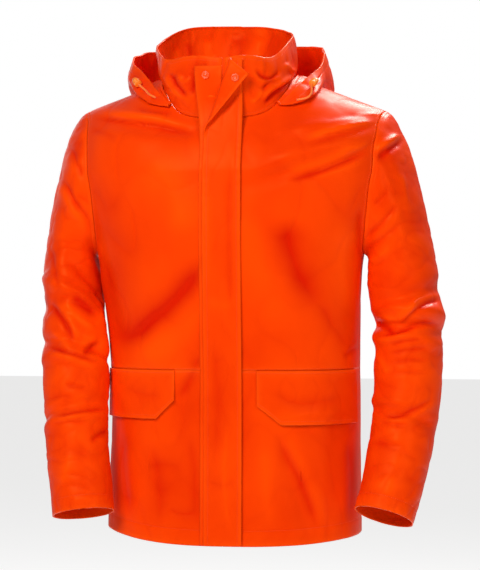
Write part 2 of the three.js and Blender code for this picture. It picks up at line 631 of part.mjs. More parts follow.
// The collar runs from its wearer's left end round the back to its right end. around is 0 at the
// centre front, positive to the wearer's left and negative to the right.
function collarPoint(around, v) {
  const side = around < 0 ? "right" : "left";
  const angle = Math.abs(around);
  const foot = coatPoint(neckAt(side, angle));
  const power = 2 / COLLAR.square;
  const s = Math.abs(Math.sin(angle));
  const c = Math.cos(angle);
  const y = (c > 0 ? COLLAR.frontY : COLLAR.backY) * Math.abs(c) ** power;
  const back = ((y - COLLAR.frontY) / (COLLAR.backY - COLLAR.frontY)) ** COLLAR.early;
  const height = lerp(COLLAR.frontZ, COLLAR.backZ, back);
  const degrees = THREE.MathUtils.radToDeg(angle);
  let dip = COLLAR.sag[side] * s * s;
  for (const { turn, wide, deep } of COLLAR_DIPS.filter((row) => row.side === side)) {
    dip += deep * Math.exp(-(((degrees - turn) / wide) ** 2));
  }
  const rim = V(signOf(side) * COLLAR[side] * s ** power, y, height - dip);
  const out = V(signOf(side) * s, -c, 0);
  return foot.lerp(rim, v).addScaledVector(out, COLLAR.bulge * 4 * v * (1 - v));
}

// The angle at which the neck seam is the given distance from the centre front.
function neckAngle(side, distance) {
  return Math.asin((distance / NECK[side]) ** (NECK.frontSquare / 2));
}

function collarSurface() {
  const from = neckAngle("left", COLLAR.end.left);
  const to = neckAngle("right", COLLAR.end.right);
  const angleAt = (place) => {
    if (place < 1) return neckStation(place);
    if (place > 3) return 2 * Math.PI - neckStation(4 - place);
    return place * quarter;
  };
  return (u, v) => {
    const around = clamp(angleAt(clamp(4 * u, 0, 4)), from, 2 * Math.PI - to);
    const signed = around > Math.PI ? around - 2 * Math.PI : around;
    return collarPoint(signed, lerp((SEAM * 2) / COLLAR_HEIGHT, 1, v));
  };
}
add("collar", wall(collarSurface(), 4 * NECK_STEPS, COLLAR.rows), MATERIALS.shell);

const CLEARING_PASSES = 6;

// Moves a point of the hood out until it clears the coat under it.
function offCoat(point, clear) {
  const front = point.y < 0;
  const flip = front ? -1 : 1;
  for (let pass = 0; pass < CLEARING_PASSES; pass++) {
    const over = coatPoint(capAt(point.x, point.y));
    const beside = coatPoint(bodyAt(point.x, point.z, front));
    const up = over.z + clear - point.z;
    const back = flip * (beside.y - point.y) + clear;
    if (up <= 0 || back <= 0) return point;
    const share = 1 / (1 / (up * up) + 1 / (back * back));
    point.add(V(0, (flip * share) / back, share / up));
  }
  return point;
}

// The hood's outside, from the neck seam under and round the bag to the rim.
function hoodPoint(side, degrees, v) {
  const sign = signOf(side);
  const turn = degToRad(degrees);
  const seam = coatPoint(neckAt(side, turn));
  const out = V(sign * Math.sin(turn), -Math.cos(turn), 0);
  const reach = column(HOOD_REACH, side, "turn", degrees);
  const off = lerp(HOOD_OFF_COLLAR.front, HOOD_OFF_COLLAR.side, smoothstep(degrees, HOOD[0].turn, 75));
  const lift = column(HOOD_LIFT, side, "turn", degrees);
  const place = (key) => {
    const up = column(HOOD, `${key}Up`, "turn", degrees) + lift * HOOD_LIFT_SHARE[key];
    const away = Math.max(column(HOOD, `${key}Out`, "turn", degrees) * reach, 0) + off;
    return seam.clone().addScaledVector(out, away).add(V(0, 0, up));
  };
  const start = seam.clone().addScaledVector(out, off).add(V(0, 0, HOOD_START_UP));
  const stations = ["mid", "foot", "belly", "rim"].map(place);
  const curve = new THREE.CatmullRomCurve3([start, ...stations]);
  return offCoat(curve.getPoint(v), lerp(HOOD_START_UP, HOOD_OFF_COAT, Math.min(v * 8, 1)));
}

for (const side of ["right", "left"]) {
  const turnOf = (t) => lerp(HOOD[0].turn, 180 - HOOD_CENTRE_GAP, t);
  const surface = (u, v) => hoodPoint(side, turnOf(side === "left" ? u : 1 - u), v);
  add(`hood_${side}`, wall(surface, HOOD_COLUMNS, HOOD_ROWS), MATERIALS.shell);
}

// The surface that the closure lies on: the chest, and above it the collar. The cloth bridges the
// hollow at the neck seam.
const BRIDGE = { low: -125, high: -25 };
function frontPoint(x, z, out) {
  const chest = (height) => coatPoint(bodyAt(x, height, true), out);
  const collar = (height) => {
    const side = sideOf(x);
    const foot = coatPoint(neckAt(side, neckAngle(side, Math.abs(x))));
    const share = (height - foot.z) / (COLLAR.frontZ - foot.z);
    return V(x, collarPoint(neckAngle(side, Math.abs(x)) * signOf(side), share).y - out, height);
  };
  if (z <= BRIDGE.low) return chest(z);
  if (z >= BRIDGE.high) return collar(z);
  const share = (z - BRIDGE.low) / (BRIDGE.high - BRIDGE.low);
  const low = chest(BRIDGE.low);
  const high = collar(BRIDGE.high);
  const span = BRIDGE.high - BRIDGE.low;
  const lowSlope = low.y - chest(BRIDGE.low - 1).y;
  const highSlope = collar(BRIDGE.high + 1).y - high.y;
  const smooth = share * share * (3 - 2 * share);
  const bend1 = lowSlope * span * share * (1 - share) ** 2;
  const bend2 = highSlope * span * (1 - share) * share * share;
  return V(lerp(low.x, high.x, share), lerp(low.y, high.y, smooth) + bend1 - bend2, z);
}

// The storm flap: what lies beyond the fold line rolls over and comes back across the flap.
function stormFlapPoint(x, z) {
  const { foldX1, foldZ1, foldX2, topZ, roll, lift, out } = STORM_FLAP;
  const length = Math.hypot(foldX2 - foldX1, topZ - foldZ1);
  const nx = -(topZ - foldZ1) / length;
  const nz = (foldX2 - foldX1) / length;
  const beyond = (x - foldX1) * nx + (z - foldZ1) * nz;
  if (beyond <= 0) return frontPoint(x, z, out);
  const half = Math.PI * roll;
  const bent = Math.min(beyond, half) / roll;
  const rest = Math.max(beyond - half, 0);
  const across = roll * Math.sin(bent) - rest - beyond;
  const above = roll * (1 - Math.cos(bent)) + rest * lift;
  const base = frontPoint(x + nx * across, z + nz * across, out);
  return base.add(V(0, -above, 0));
}

// The height of a row of the closure: widely spaced from the hem to splitZ, closer above it.
function closureZ({ rows, topRows, splitZ, topZ }, v) {
  const row = v * (rows + topRows);
  const hem = HEM_FRONT_Z + 1;
  return row < rows ? lerp(hem, splitZ, row / rows) : lerp(splitZ, topZ, (row - rows) / topRows);
}

// A band of the closure from the hem to its top, between its edges at x. left is a function of z.
function closure(sizes, left, right, point) {
  const surface = (u, v) => {
    const z = closureZ(sizes, v);
    return point(lerp(left(z), right, u), z);
  };
  return wall(surface, sizes.columns, sizes.rows + sizes.topRows);
}
const stripPoint = (x, z) => frontPoint(x, z, SNAP_STRIP.out);
const stripEdge = (z) => SNAP_STRIP.attachedX - SNAP_STRIP.slant * smoothstep(z, BRIDGE.low, SNAP_STRIP.topZ);
const flapEdge = () => STORM_FLAP.freeX;
const stormFlap = closure(STORM_FLAP, flapEdge, STORM_FLAP.attachedX, stormFlapPoint);
const snapStrip = closure(SNAP_STRIP, stripEdge, SNAP_STRIP.freeX, stripPoint);
add("storm_flap", stormFlap, MATERIALS.shell);
add("snap_strip", snapStrip, MATERIALS.shell);

// Pocket flaps hang from the waist seam with their front ends sloped.
for (const side of ["right", "left"]) {
  const { innerX, outerTurn, innerDrop, drop, slope } = POCKETS[side];
  const from = bodyAt(innerX, WAIST_Z, true).turn;
  const to = signOf(side) * degToRad(outerTurn);
  const surface = (u, v) => {
    const t = side === "left" ? u : 1 - u;
    const fall = t < slope ? lerp(innerDrop, drop, t / slope) : drop;
    const turn = lerp(from, to, t);
    const out = WALL + POCKET_FLAP.out + POCKET_FLAP.lift * (1 - v);
    return coatPoint({ turn, rise: WAIST_Z - SEAM - fall * (1 - v) }, out);
  };
  add(`pocket_flap_${side}`, wall(surface, POCKET_FLAP.columns, POCKET_FLAP.rows), MATERIALS.shell);
}

// A closed turned shape about +Z from radius and height pairs.
function turned(profile, sides) {
  return new THREE.LatheGeometry(profile.map(([r, z]) => new THREE.Vector2(r, z)), sides).rotateX(quarter);
}

function hoodNormal(side, degrees, v) {
  const normal = normalOf((a, b) => hoodPoint(side, a, b), degrees, v, 0.01);
  return side === "left" ? normal : normal.negate();
}

for (const side of ["right", "left"]) {
  const { body, length, button, buttonLength, round: edge, sides } = LOCK;
  const { share, turn, off } = LOCK_AT[side];
  const profile = [
    [0, 0], [body - edge, 0], [body, edge], [body, length - edge], [body - edge, length],
    [button, length], [button, length + buttonLength - edge], [button - edge, length + buttonLength],
    [0, length + buttonLength], [0, 0],
  ];
  const along = hoodPoint(side, turn + 2, share).sub(hoodPoint(side, turn - 2, share)).normalize();
  const lock = add(`cord_lock_${side}`, turned(profile, sides), MATERIALS.plastic);
  lock.position.copy(hoodPoint(side, turn, share));
  lock.position.addScaledVector(hoodNormal(side, turn, share), off);
  lock.position.addScaledVector(along, -length / 2);
  lock.quaternion.setFromUnitVectors(V(0, 0, 1), along);

  const path = CORD_PATHS[side].map((at) =>
    hoodPoint(side, at.turn, at.share).addScaledVector(hoodNormal(side, at.turn, at.share), at.off));
  path.unshift(lock.position.clone().addScaledVector(along, -3 * TOUCH));
  const curve = new THREE.CatmullRomCurve3(path);
  const round = new THREE.Shape().absarc(0, 0, CORD.radius, 0, 2 * Math.PI);
  const settings = {
    steps: CORD.steps, bevelEnabled: false, extrudePath: curve, curveSegments: CORD.sides / 2,
  };
  add(`draw_cord_${side}`, new THREE.ExtrudeGeometry(round, settings), MATERIALS.cord);
}

// Snap parts: a stud on the strip and its socket on the turned-back face of the storm flap.
const domeProfile = [
  [0, 0], [SNAP.radius, 0], [SNAP.radius, SNAP.tall - SNAP.dome], [SNAP.radius - SNAP.dome, SNAP.tall],
  [SNAP.cup, SNAP.tall], [SNAP.cup - SNAP.dome, SNAP.tall + SNAP.dome], [0, SNAP.tall + SNAP.dome], [0, 0],
];
const socketProfile = [
  [0, 0], [SNAP.radius, 0], [SNAP.radius, SNAP.tall - SNAP.dome], [SNAP.radius - SNAP.dome, SNAP.tall],
  [SNAP.cup, SNAP.tall], [SNAP.cup, SNAP.dome], [0, SNAP.dome], [0, 0],
];
function placeSnap(name, profile, surface, at, below) {
  const snap = add(name, turned(profile, SNAP.sides), MATERIALS.plastic);
  const normal = normalOf(surface, at.x, at.z, 0.2);
  if (below) normal.negate();
  snap.position.copy(surface(at.x, at.z)).addScaledVector(normal, TOUCH + (below ? WALL : 0));
  snap.quaternion.setFromUnitVectors(V(0, 0, 1), normal);
}
placeSnap("snap_stud", domeProfile, stripPoint, STUD_AT, false);
placeSnap("snap_socket", socketProfile, stormFlapPoint, SOCKET_AT, true);

export default raincoat;
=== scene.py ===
# %% [markdown]
# # A hip-length raincoat in coated cloth
# The coat is filled out as if somebody wore it: the hood lies thrown back, the collar stands open
# and a storm flap covers the closure. Everything here is measured in the wearer's frame, with the
# front facing -Y, the wearer's left at +X and the origin between the shoulders. The sewn shapes are
# worked out in millimetres, as a pattern cutter would, and turned into metres when a mesh is made.

# %% The frame
import math

import bmesh
import bpy
import numpy as np
from mathutils import Matrix, Vector, noise


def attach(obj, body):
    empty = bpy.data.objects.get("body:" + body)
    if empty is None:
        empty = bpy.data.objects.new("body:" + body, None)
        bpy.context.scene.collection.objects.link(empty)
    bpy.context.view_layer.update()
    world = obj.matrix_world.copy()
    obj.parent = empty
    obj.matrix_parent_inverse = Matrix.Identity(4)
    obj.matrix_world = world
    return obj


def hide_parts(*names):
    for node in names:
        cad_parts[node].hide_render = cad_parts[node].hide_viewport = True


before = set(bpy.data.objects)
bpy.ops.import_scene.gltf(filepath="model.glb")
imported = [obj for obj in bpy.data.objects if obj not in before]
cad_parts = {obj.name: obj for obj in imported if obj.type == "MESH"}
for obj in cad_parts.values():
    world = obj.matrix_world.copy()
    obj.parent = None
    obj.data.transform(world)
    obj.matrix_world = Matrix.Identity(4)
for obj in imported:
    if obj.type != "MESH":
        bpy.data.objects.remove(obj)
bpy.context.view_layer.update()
MM = 0.001
print("solids in the frame:", len(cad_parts))

# %% [markdown]
# ## The camera
# A product picture of a coat is taken from a few metres away with a long lens, level with its
# middle, so that the hem and the collar are not stretched. The coat is turned nine degrees. The
# same numbers give a helper that tells where a point falls in the picture, which is handy later
# for placing a crease where it is seen.

# %% Camera and picture coordinates
PICTURE = {"wide": 480, "tall": 570}
VIEW_TURN = math.radians(9)
VIEW_AWAY = 3200.0
VIEW_LEVEL = -330.0
VIEW_SHIFT = 8.0
PIXELS_FOCAL = 1939.0
AHEAD = np.array([-math.sin(VIEW_TURN), math.cos(VIEW_TURN), 0.0])
ACROSS = np.array([math.cos(VIEW_TURN), math.sin(VIEW_TURN), 0.0])
EYE = -VIEW_AWAY * AHEAD + VIEW_SHIFT * ACROSS + np.array([0.0, 0.0, VIEW_LEVEL])

camera_data = bpy.data.cameras.new("camera")
camera_data.sensor_width = 36.0
camera_data.lens = 36.0 * PIXELS_FOCAL / PICTURE["tall"]
camera = bpy.data.objects.new("camera", camera_data)
camera.location = Vector(EYE) * MM
camera.rotation_euler = (math.radians(90), 0, VIEW_TURN)
bpy.context.scene.collection.objects.link(camera)
bpy.context.scene.camera = camera


def seen(points):
    """Where points fall in the picture, in its pixels from the top left corner."""
    away = points - EYE
    depth = away @ AHEAD
    across = PICTURE["wide"] / 2 + PIXELS_FOCAL * (away @ ACROSS) / depth
    down = PICTURE["tall"] / 2 - PIXELS_FOCAL * away[..., 2] / depth
    return np.stack([across, down], -1)


print("camera at", [round(v, 3) for v in camera.location], "lens", round(camera_data.lens, 1))

# %% [markdown]
# ## The light and the floor
# Coated cloth is read by its broad soft highlights, so the studio has large soft lights: a strong
# one in front, a weak one at the right, one high behind the wearer's left shoulder, which draws the
# pale sheen there, and a faint one behind. The background is white to the camera but lights the
# coat more softly than that.

# %% World, lights and floor
scene = bpy.context.scene
scene.view_settings.view_transform = "Standard"
world = bpy.data.worlds.new("studio")
scene.world = world
world.use_nodes = True
sky = world.node_tree.nodes
sky_links = world.node_tree.links
sky.clear()
sky_out = sky.new("ShaderNodeOutputWorld")
sky_mix = sky.new("ShaderNodeMixShader")
sky_path = sky.new("ShaderNodeLightPath")
sky_lit = sky.new("ShaderNodeBackground")
sky_seen = sky.new("ShaderNodeBackground")
sky_lit.inputs["Color"].default_value = (1.0, 0.98, 0.96, 1)
sky_lit.inputs["Strength"].default_value = 0.18
sky_seen.inputs["Color"].default_value = (1, 1, 1, 1)
sky_seen.inputs["Strength"].default_value = 1.0
sky_links.new(sky_path.outputs["Is Camera Ray"], sky_mix.inputs["Fac"])
sky_links.new(sky_lit.outputs[0], sky_mix.inputs[1])
sky_links.new(sky_seen.outputs[0], sky_mix.inputs[2])
sky_links.new(sky_mix.outputs[0], sky_out.inputs["Surface"])

STUDIO = [
    {"name": "key", "at": (-0.9, -3.1, 1.4), "size": 1.5, "watts": 86, "aim": (0, 0, -0.35)},
    {"name": "side", "at": (2.0, -2.6, 0.7), "size": 1.4, "watts": 26, "aim": (0.1, 0, -0.3)},
    {"name": "shoulder", "at": (0.9, 1.5, 2.0), "size": 1.2, "watts": 88, "aim": (0.2, 0, -0.05)},
    {"name": "behind", "at": (-1.6, 2.4, 0.4), "size": 2.0, "watts": 10, "aim": (0, 0, -0.2)},
]
for row in STUDIO:
    lamp = bpy.data.lights.new(row["name"], "AREA")
    lamp.shape = "DISK"
    lamp.size = row["size"]
    lamp.energy = row["watts"]
    holder = bpy.data.objects.new(row["name"], lamp)
    holder.location = row["at"]
    toward = Vector(row["aim"]) - Vector(row["at"])
    holder.rotation_euler = toward.to_track_quat("-Z", "Y").to_euler()
    scene.collection.objects.link(holder)

FLOOR_Z = -1.45
floor_mesh = bpy.data.meshes.new("floor")
bm = bmesh.new()
bmesh.ops.create_grid(bm, x_segments=1, y_segments=1, size=20)
bmesh.ops.translate(bm, verts=bm.verts, vec=(0, 0, FLOOR_Z))
bm.to_mesh(floor_mesh)
bm.free()
floor = bpy.data.objects.new("floor", floor_mesh)
scene.collection.objects.link(floor)
floor_paint = bpy.data.materials.new("studio_floor")
floor_paint.use_nodes = True
floor_nodes, floor_links = floor_paint.node_tree.nodes, floor_paint.node_tree.links
floor_shader = floor_nodes["Principled BSDF"]
floor_shader.inputs["Base Color"].default_value = (0.9, 0.9, 0.9, 1)
floor_shader.inputs["Roughness"].default_value = 0.8
floor_shader.inputs["Emission Color"].default_value = (1, 1, 1, 1)
floor_path = floor_nodes.new("ShaderNodeLightPath")
floor_glow = floor_nodes.new("ShaderNodeMath")
floor_glow.operation = "MULTIPLY_ADD"
FLOOR_GLOW_SEEN, FLOOR_GLOW = 0.55, 0.1
floor_glow.inputs[1].default_value = FLOOR_GLOW_SEEN
floor_glow.inputs[2].default_value = FLOOR_GLOW
floor_links.new(floor_path.outputs["Is Camera Ray"], floor_glow.inputs[0])
floor_links.new(floor_glow.outputs[0], floor_shader.inputs["Emission Strength"])
floor_mesh.materials.append(floor_paint)
print("lights:", len(STUDIO))

# %% [markdown]
# ## The coat's body as a measured form
# A coat is cut from flat cloth, but what is seen is the filled form: cross-sections of the trunk
# that grow into shoulders. A table of sections with a smooth curve through its rows gives that
# form, and every panel is a window on it. Working from one form keeps neighbouring panels flush
# at their seams.

# %% Tables of sizes
def table(names, *rows):
    """Rows of sizes under the names of their columns."""
    return [dict(zip(names.split(), row)) for row in rows]


# %% Sizes of the body
CAP_Z = -150.0
CAP_RISE = 100.0
RIDGE = CAP_Z + CAP_RISE
WAIST_Z = -466.0
HEM_FRONT_Z = -745.0
HEM_SIDE_Z = {"left": -733.0, "right": -725.0}
SEAM = 0.04

BODY = table(
    "z right left front back square",
    (-760, 210, 209, 128, 130, 2.6),
    (-600, 205, 207, 125, 121, 2.55),
    (-470, 205, 206, 126, 114, 2.5),
    (-400, 211, 207, 130, 116, 2.4),
    (-330, 221, 208, 135, 122, 2.4),
    (-278, 227, 214, 138, 128, 2.35),
    (-240, 236, 230, 139, 132, 2.35),
    (-200, 247, 245, 139, 135, 2.35),
    (-150, 258, 257, 138, 136, 2.35),
)
RIDGE_TOP = 53.0
RIDGE_FALL = {"left": 0.395, "right": 0.38}
RIDGE_SOFT = 40.0
TIP_X = 250.0
NECK = {
    "left": 99, "right": 111, "frontY": -106, "backY": 82,
    "frontSquare": 2.9, "backSquare": 2.3, "spacing": 1.35,
}
ARMHOLE = {"frontDeep": 72, "backDeep": 76, "underZ": -280}

# Broad folds of the filled form: both ends of a line as x and z, seen from the front or the back,
# its half-width and how far it stands out.
BODY_FOLDS = {
    "front": [
        ((-235, -60), (-40, -88), 11, -5),
        ((-240, -40), (-60, -68), 12, 3),
        ((236, -108), (45, -172), 13, -6),
        ((240, -88), (60, -140), 14, 4),
        ((232, -62), (95, -86), 9, 4),
        ((-44, -300), (-120, -460), 26, -5),
        ((-40, -440), (-92, -600), 18, -5),
        ((84, -562), (148, -742), 16, -6),
        ((190, -470), (178, -742), 20, -6),
        ((-196, -480), (-168, -738), 20, -5),
    ],
    "back": [
        ((-225, -150), (-60, -330), 20, -6),
        ((225, -165), (70, -320), 20, -6),
        ((-90, -380), (-60, -745), 24, -7),
        ((95, -420), (78, -748), 26, -7),
        ((8, -330), (14, -748), 24, 5),
        ((-180, -400), (-150, -742), 20, -6),
        ((185, -430), (160, -742), 20, -6),
    ],
}
QUARTER = math.pi / 2
print("body sections:", len(BODY), "broad folds:", sum(len(rows) for rows in BODY_FOLDS.values()))


# %% Helpers that read the tables
def smoothstep(value, low, high):
    t = np.clip((value - low) / (high - low), 0, 1)
    return t * t * (3 - 2 * t)


def lerp(a, b, t):
    return a + (b - a) * t


def sign_of(side):
    return 1 if side == "left" else -1


def bend(value, power):
    return np.sign(value) * np.abs(value) ** power


def column(rows, key, along, at):
    """One column of a table, read at any place on a smooth curve through its rows."""
    place = np.array([row[along] for row in rows], float)
    value = np.array([row[key] for row in rows], float)
    at = np.asarray(at, float)
    last = len(rows) - 1
    i = np.searchsorted(place[1:-1], at, side="left")
    slope = np.array([
        (value[min(k + 1, last)] - value[max(k - 1, 0)]) / (place[min(k + 1, last)] - place[max(k - 1, 0)])
        for k in range(last + 1)
    ])
    span = place[i + 1] - place[i]
    t = np.clip((at - place[i]) / span, 0, 1)
    start = value[i] + slope[i] * span * t * (1 - t) ** 2
    rise = (value[i + 1] - value[i]) * t * t * (3 - 2 * t)
    return start + rise - slope[i + 1] * span * (1 - t) * t * t


def unit(vectors):
    return vectors / np.maximum(np.linalg.norm(vectors, axis=-1, keepdims=True), 1e-12)


def by_side(x, right, left):
    return np.where(np.asarray(x) < 0, right, left)


# %% The body's form
def ridge_z(x):
    fall = lerp(RIDGE_FALL["right"], RIDGE_FALL["left"], smoothstep(x, -60, 60))
    return RIDGE_TOP - fall * np.hypot(x, RIDGE_SOFT)


def cap_round(x, front):
    fore = lerp(1.5, 2.1, smoothstep(np.abs(x), 70, 170))
    rear = lerp(2.5, 2.1, smoothstep(np.abs(x), 0, 200))
    return np.where(front, fore, rear)


def body_point(turn, rise):
    """The smooth body. turn is 0 at the centre front; past CAP_Z rise goes on over the shoulder."""
    z = np.minimum(rise, CAP_Z)
    power = 2 / column(BODY, "square", "z", z)
    s, c = np.sin(turn), np.cos(turn)
    half = np.where(s < 0, column(BODY, "right", "z", z), column(BODY, "left", "z", z))
    deep = np.where(c > 0, column(BODY, "front", "z", z), column(BODY, "back", "z", z))
    x = half * bend(s, power)
    y = -deep * bend(c, power)
    lift = np.clip((rise - CAP_Z) / CAP_RISE, 0, 1) * QUARTER
    rounding = 2 / cap_round(x, c > 0)
    up = np.sin(lift) ** rounding
    keep = np.maximum(np.cos(lift), 0) ** rounding
    over = np.asarray(rise) > CAP_Z
    height = np.where(over, CAP_Z + (ridge_z(x) - CAP_Z) * up, z)
    return np.stack([x, np.where(over, y * keep, y), height], -1)


def turn_at(x, z, front):
    low = np.minimum(z, CAP_Z)
    half = np.where(x < 0, column(BODY, "right", "z", low), column(BODY, "left", "z", low))
    share = np.clip(np.abs(x) / half, 0, 1)
    turn = np.arcsin(share ** (column(BODY, "square", "z", low) / 2))
    return np.sign(x) * np.where(front, turn, math.pi - turn)


def body_at(x, z, front):
    """The turn and rise of the body's point at x and z on its front or back."""
    x, z = np.asarray(x, float), np.asarray(z, float)
    up = np.clip((z - CAP_Z) / (ridge_z(x) - CAP_Z), 0, 1)
    over = CAP_Z + CAP_RISE * np.arcsin(up ** (cap_round(x, front) / 2)) / QUARTER
    return turn_at(x, z, front), np.where(z <= CAP_Z, z, over)


def cap_at(x, y):
    """The turn and rise of the point of the shoulders over x and y."""
    front = np.asarray(y) < 0
    turn = turn_at(x, CAP_Z, front)
    depth = np.abs(body_point(turn, CAP_Z)[..., 1])
    keep = np.clip(np.abs(y) / depth, 0, 1)
    return turn, CAP_Z + CAP_RISE * np.arccos(keep ** (cap_round(x, front) / 2)) / QUARTER


def armhole_at(side, angle, front):
    """The armhole. angle is 0 at the shoulder tip and half a turn under the arm."""
    sign = sign_of(side)
    angle = np.maximum(np.asarray(angle, float), 1e-4)
    z = lerp(ARMHOLE["underZ"], float(ridge_z(sign * TIP_X)), (1 + np.cos(angle)) / 2)
    deep = np.where(front, ARMHOLE["frontDeep"], ARMHOLE["backDeep"]) * np.sin(angle)
    reach = ((RIDGE_TOP - np.maximum(z, CAP_Z)) / RIDGE_FALL[side]) ** 2 - RIDGE_SOFT ** 2
    far = np.where(z > CAP_Z, np.sqrt(reach), 1e6)
    most = np.minimum(far, column(BODY, side, "z", np.minimum(z, CAP_Z)))
    low, high = np.full_like(z, 150.0), most
    for _ in range(44):
        middle = (low + high) / 2
        deeper = np.abs(body_point(*body_at(sign * middle, z, front))[..., 1]) > deep
        low, high = np.where(deeper, middle, low), np.where(deeper, high, middle)
    return body_at(sign * (low + high) / 2, z, front)


def neck_at(side, angle, outside=0.0):
    """The neck seam. angle is 0 at the centre front and half a turn at the centre back."""
    angle = np.asarray(angle, float)
    front = angle <= QUARTER
    power = 2 / np.where(front, NECK["frontSquare"], NECK["backSquare"])
    x = sign_of(side) * (NECK[side] + outside) * np.abs(np.sin(angle)) ** power
    cosine = np.abs(np.cos(angle)) ** power
    y = np.where(front, np.minimum((NECK["frontY"] - outside) * cosine, -1e-9), 0)
    y = np.where(front, y, np.maximum((NECK["backY"] + outside) * cosine, 1e-9))
    return cap_at(x, y)


def body_fold(points, front):
    out = np.zeros(points.shape[:-1])
    for face, rows in BODY_FOLDS.items():
        here = front == (face == "front")
        for (x1, z1), (x2, z2), width, depth in rows:
            dx, dz = x2 - x1, z2 - z1
            rx, rz = points[..., 0] - x1, points[..., 2] - z1
            near = np.clip((rx * dx + rz * dz) / (dx * dx + dz * dz), 0, 1)
            off = np.hypot(rx - near * dx, rz - near * dz)
            ends = smoothstep(near, 0, 0.3) * (1 - smoothstep(near, 0.7, 1))
            out += here * depth * np.exp(-((off / width) ** 2)) * (0.25 + 0.75 * ends)
    return out


def coat_point(turn, rise, out=0.0):
    """A point of the coat's outer face, moved out by the given amount."""
    turn, rise = np.broadcast_arrays(np.asarray(turn, float), np.asarray(rise, float))
    top = np.minimum(rise, RIDGE - 0.6)
    points = body_point(turn, rise)
    across = body_point(turn + 1e-3, top) - body_point(turn - 1e-3, top)
    upward = body_point(turn, top + 0.5) - body_point(turn, top - 0.5)
    normal = unit(np.cross(across, upward))
    c = np.cos(turn)
    quiet = (1 - smoothstep(rise, RIDGE - 12, RIDGE)) * smoothstep(np.abs(c), 0.02, 0.3)
    return points + normal * (body_fold(points, c > 0) * quiet + out)[..., None]


print("shoulder tip at", coat_point(*cap_at(TIP_X, -1e-9)).round(1))

# %% [markdown]
# ## Creases and small crumples
# Coated cloth does not drape like knitwear. It keeps sharp creases where it has been folded and
# shows broad soft hollows between them. A cloth simulation would lose the worn pose, so each main
# crease is placed as a soft trough or ridge along a curve: where it is seen, how wide, how
# deep, and on which side the cloth rolls up beside it.

# %% Creases along curves
def through(path, samples=14):
    """Points on one smooth curve through the path's points."""
    path = np.asarray(path, float)
    if len(path) == 2:
        return path[0] + (path[1] - path[0]) * np.linspace(0, 1, samples)[:, None]
    gaps = np.linalg.norm(np.diff(path, axis=0), axis=1)
    at = np.concatenate([[0], np.cumsum(gaps)])
    rows = [{"at": at[i], **{str(k): path[i, k] for k in range(path.shape[1])}} for i in range(len(path))]
    places = np.linspace(0, at[-1], samples)
    return np.stack([column(rows, str(k), "at", places) for k in range(path.shape[1])], -1)


def crease_height(places, rows):
    """How far the creases move the cloth out, at places given in the rows' own two coordinates."""
    height = np.zeros(places.shape[:-1])
    for row in rows:
        line = through(row["path"])
        reach = row["width"] * 4
        low, high = line.min(0) - reach, line.max(0) + reach
        near = np.all((places > low) & (places < high), axis=-1)
        if not near.any():
            continue
        spot = places[near]
        start, step = line[:-1], np.diff(line, axis=0)
        rel = spot[:, None, :] - start[None]
        share = np.clip((rel * step).sum(-1) / (step * step).sum(-1), 0, 1)
        away = rel - share[..., None] * step
        far = np.linalg.norm(away, axis=-1)
        best = far.argmin(1)
        pick = np.arange(len(spot))
        along = (best + share[pick, best]) / len(step)
        side = np.sign(step[best, 0] * away[pick, best, 1] - step[best, 1] * away[pick, best, 0])
        off = far[pick, best] * side
        ends = smoothstep(along, 0, 0.25) * (1 - smoothstep(along, 0.72, 1))
        roll = row["roll"]
        shape = np.exp(-np.abs(off / row["width"]) ** 1.4)
        beside = (off - np.sign(roll) * 2.1 * row["width"]) / (1.5 * row["width"])
        shape -= abs(roll) * np.exp(-(beside**2))
        height[near] += row["depth"] * shape * ends
    return height


def creases(*rows):
    """A table of creases: half-width, depth and the side that rolls up, then points of the line."""
    return [{"width": row[0], "depth": row[1], "roll": row[2], "path": row[3:]} for row in rows]


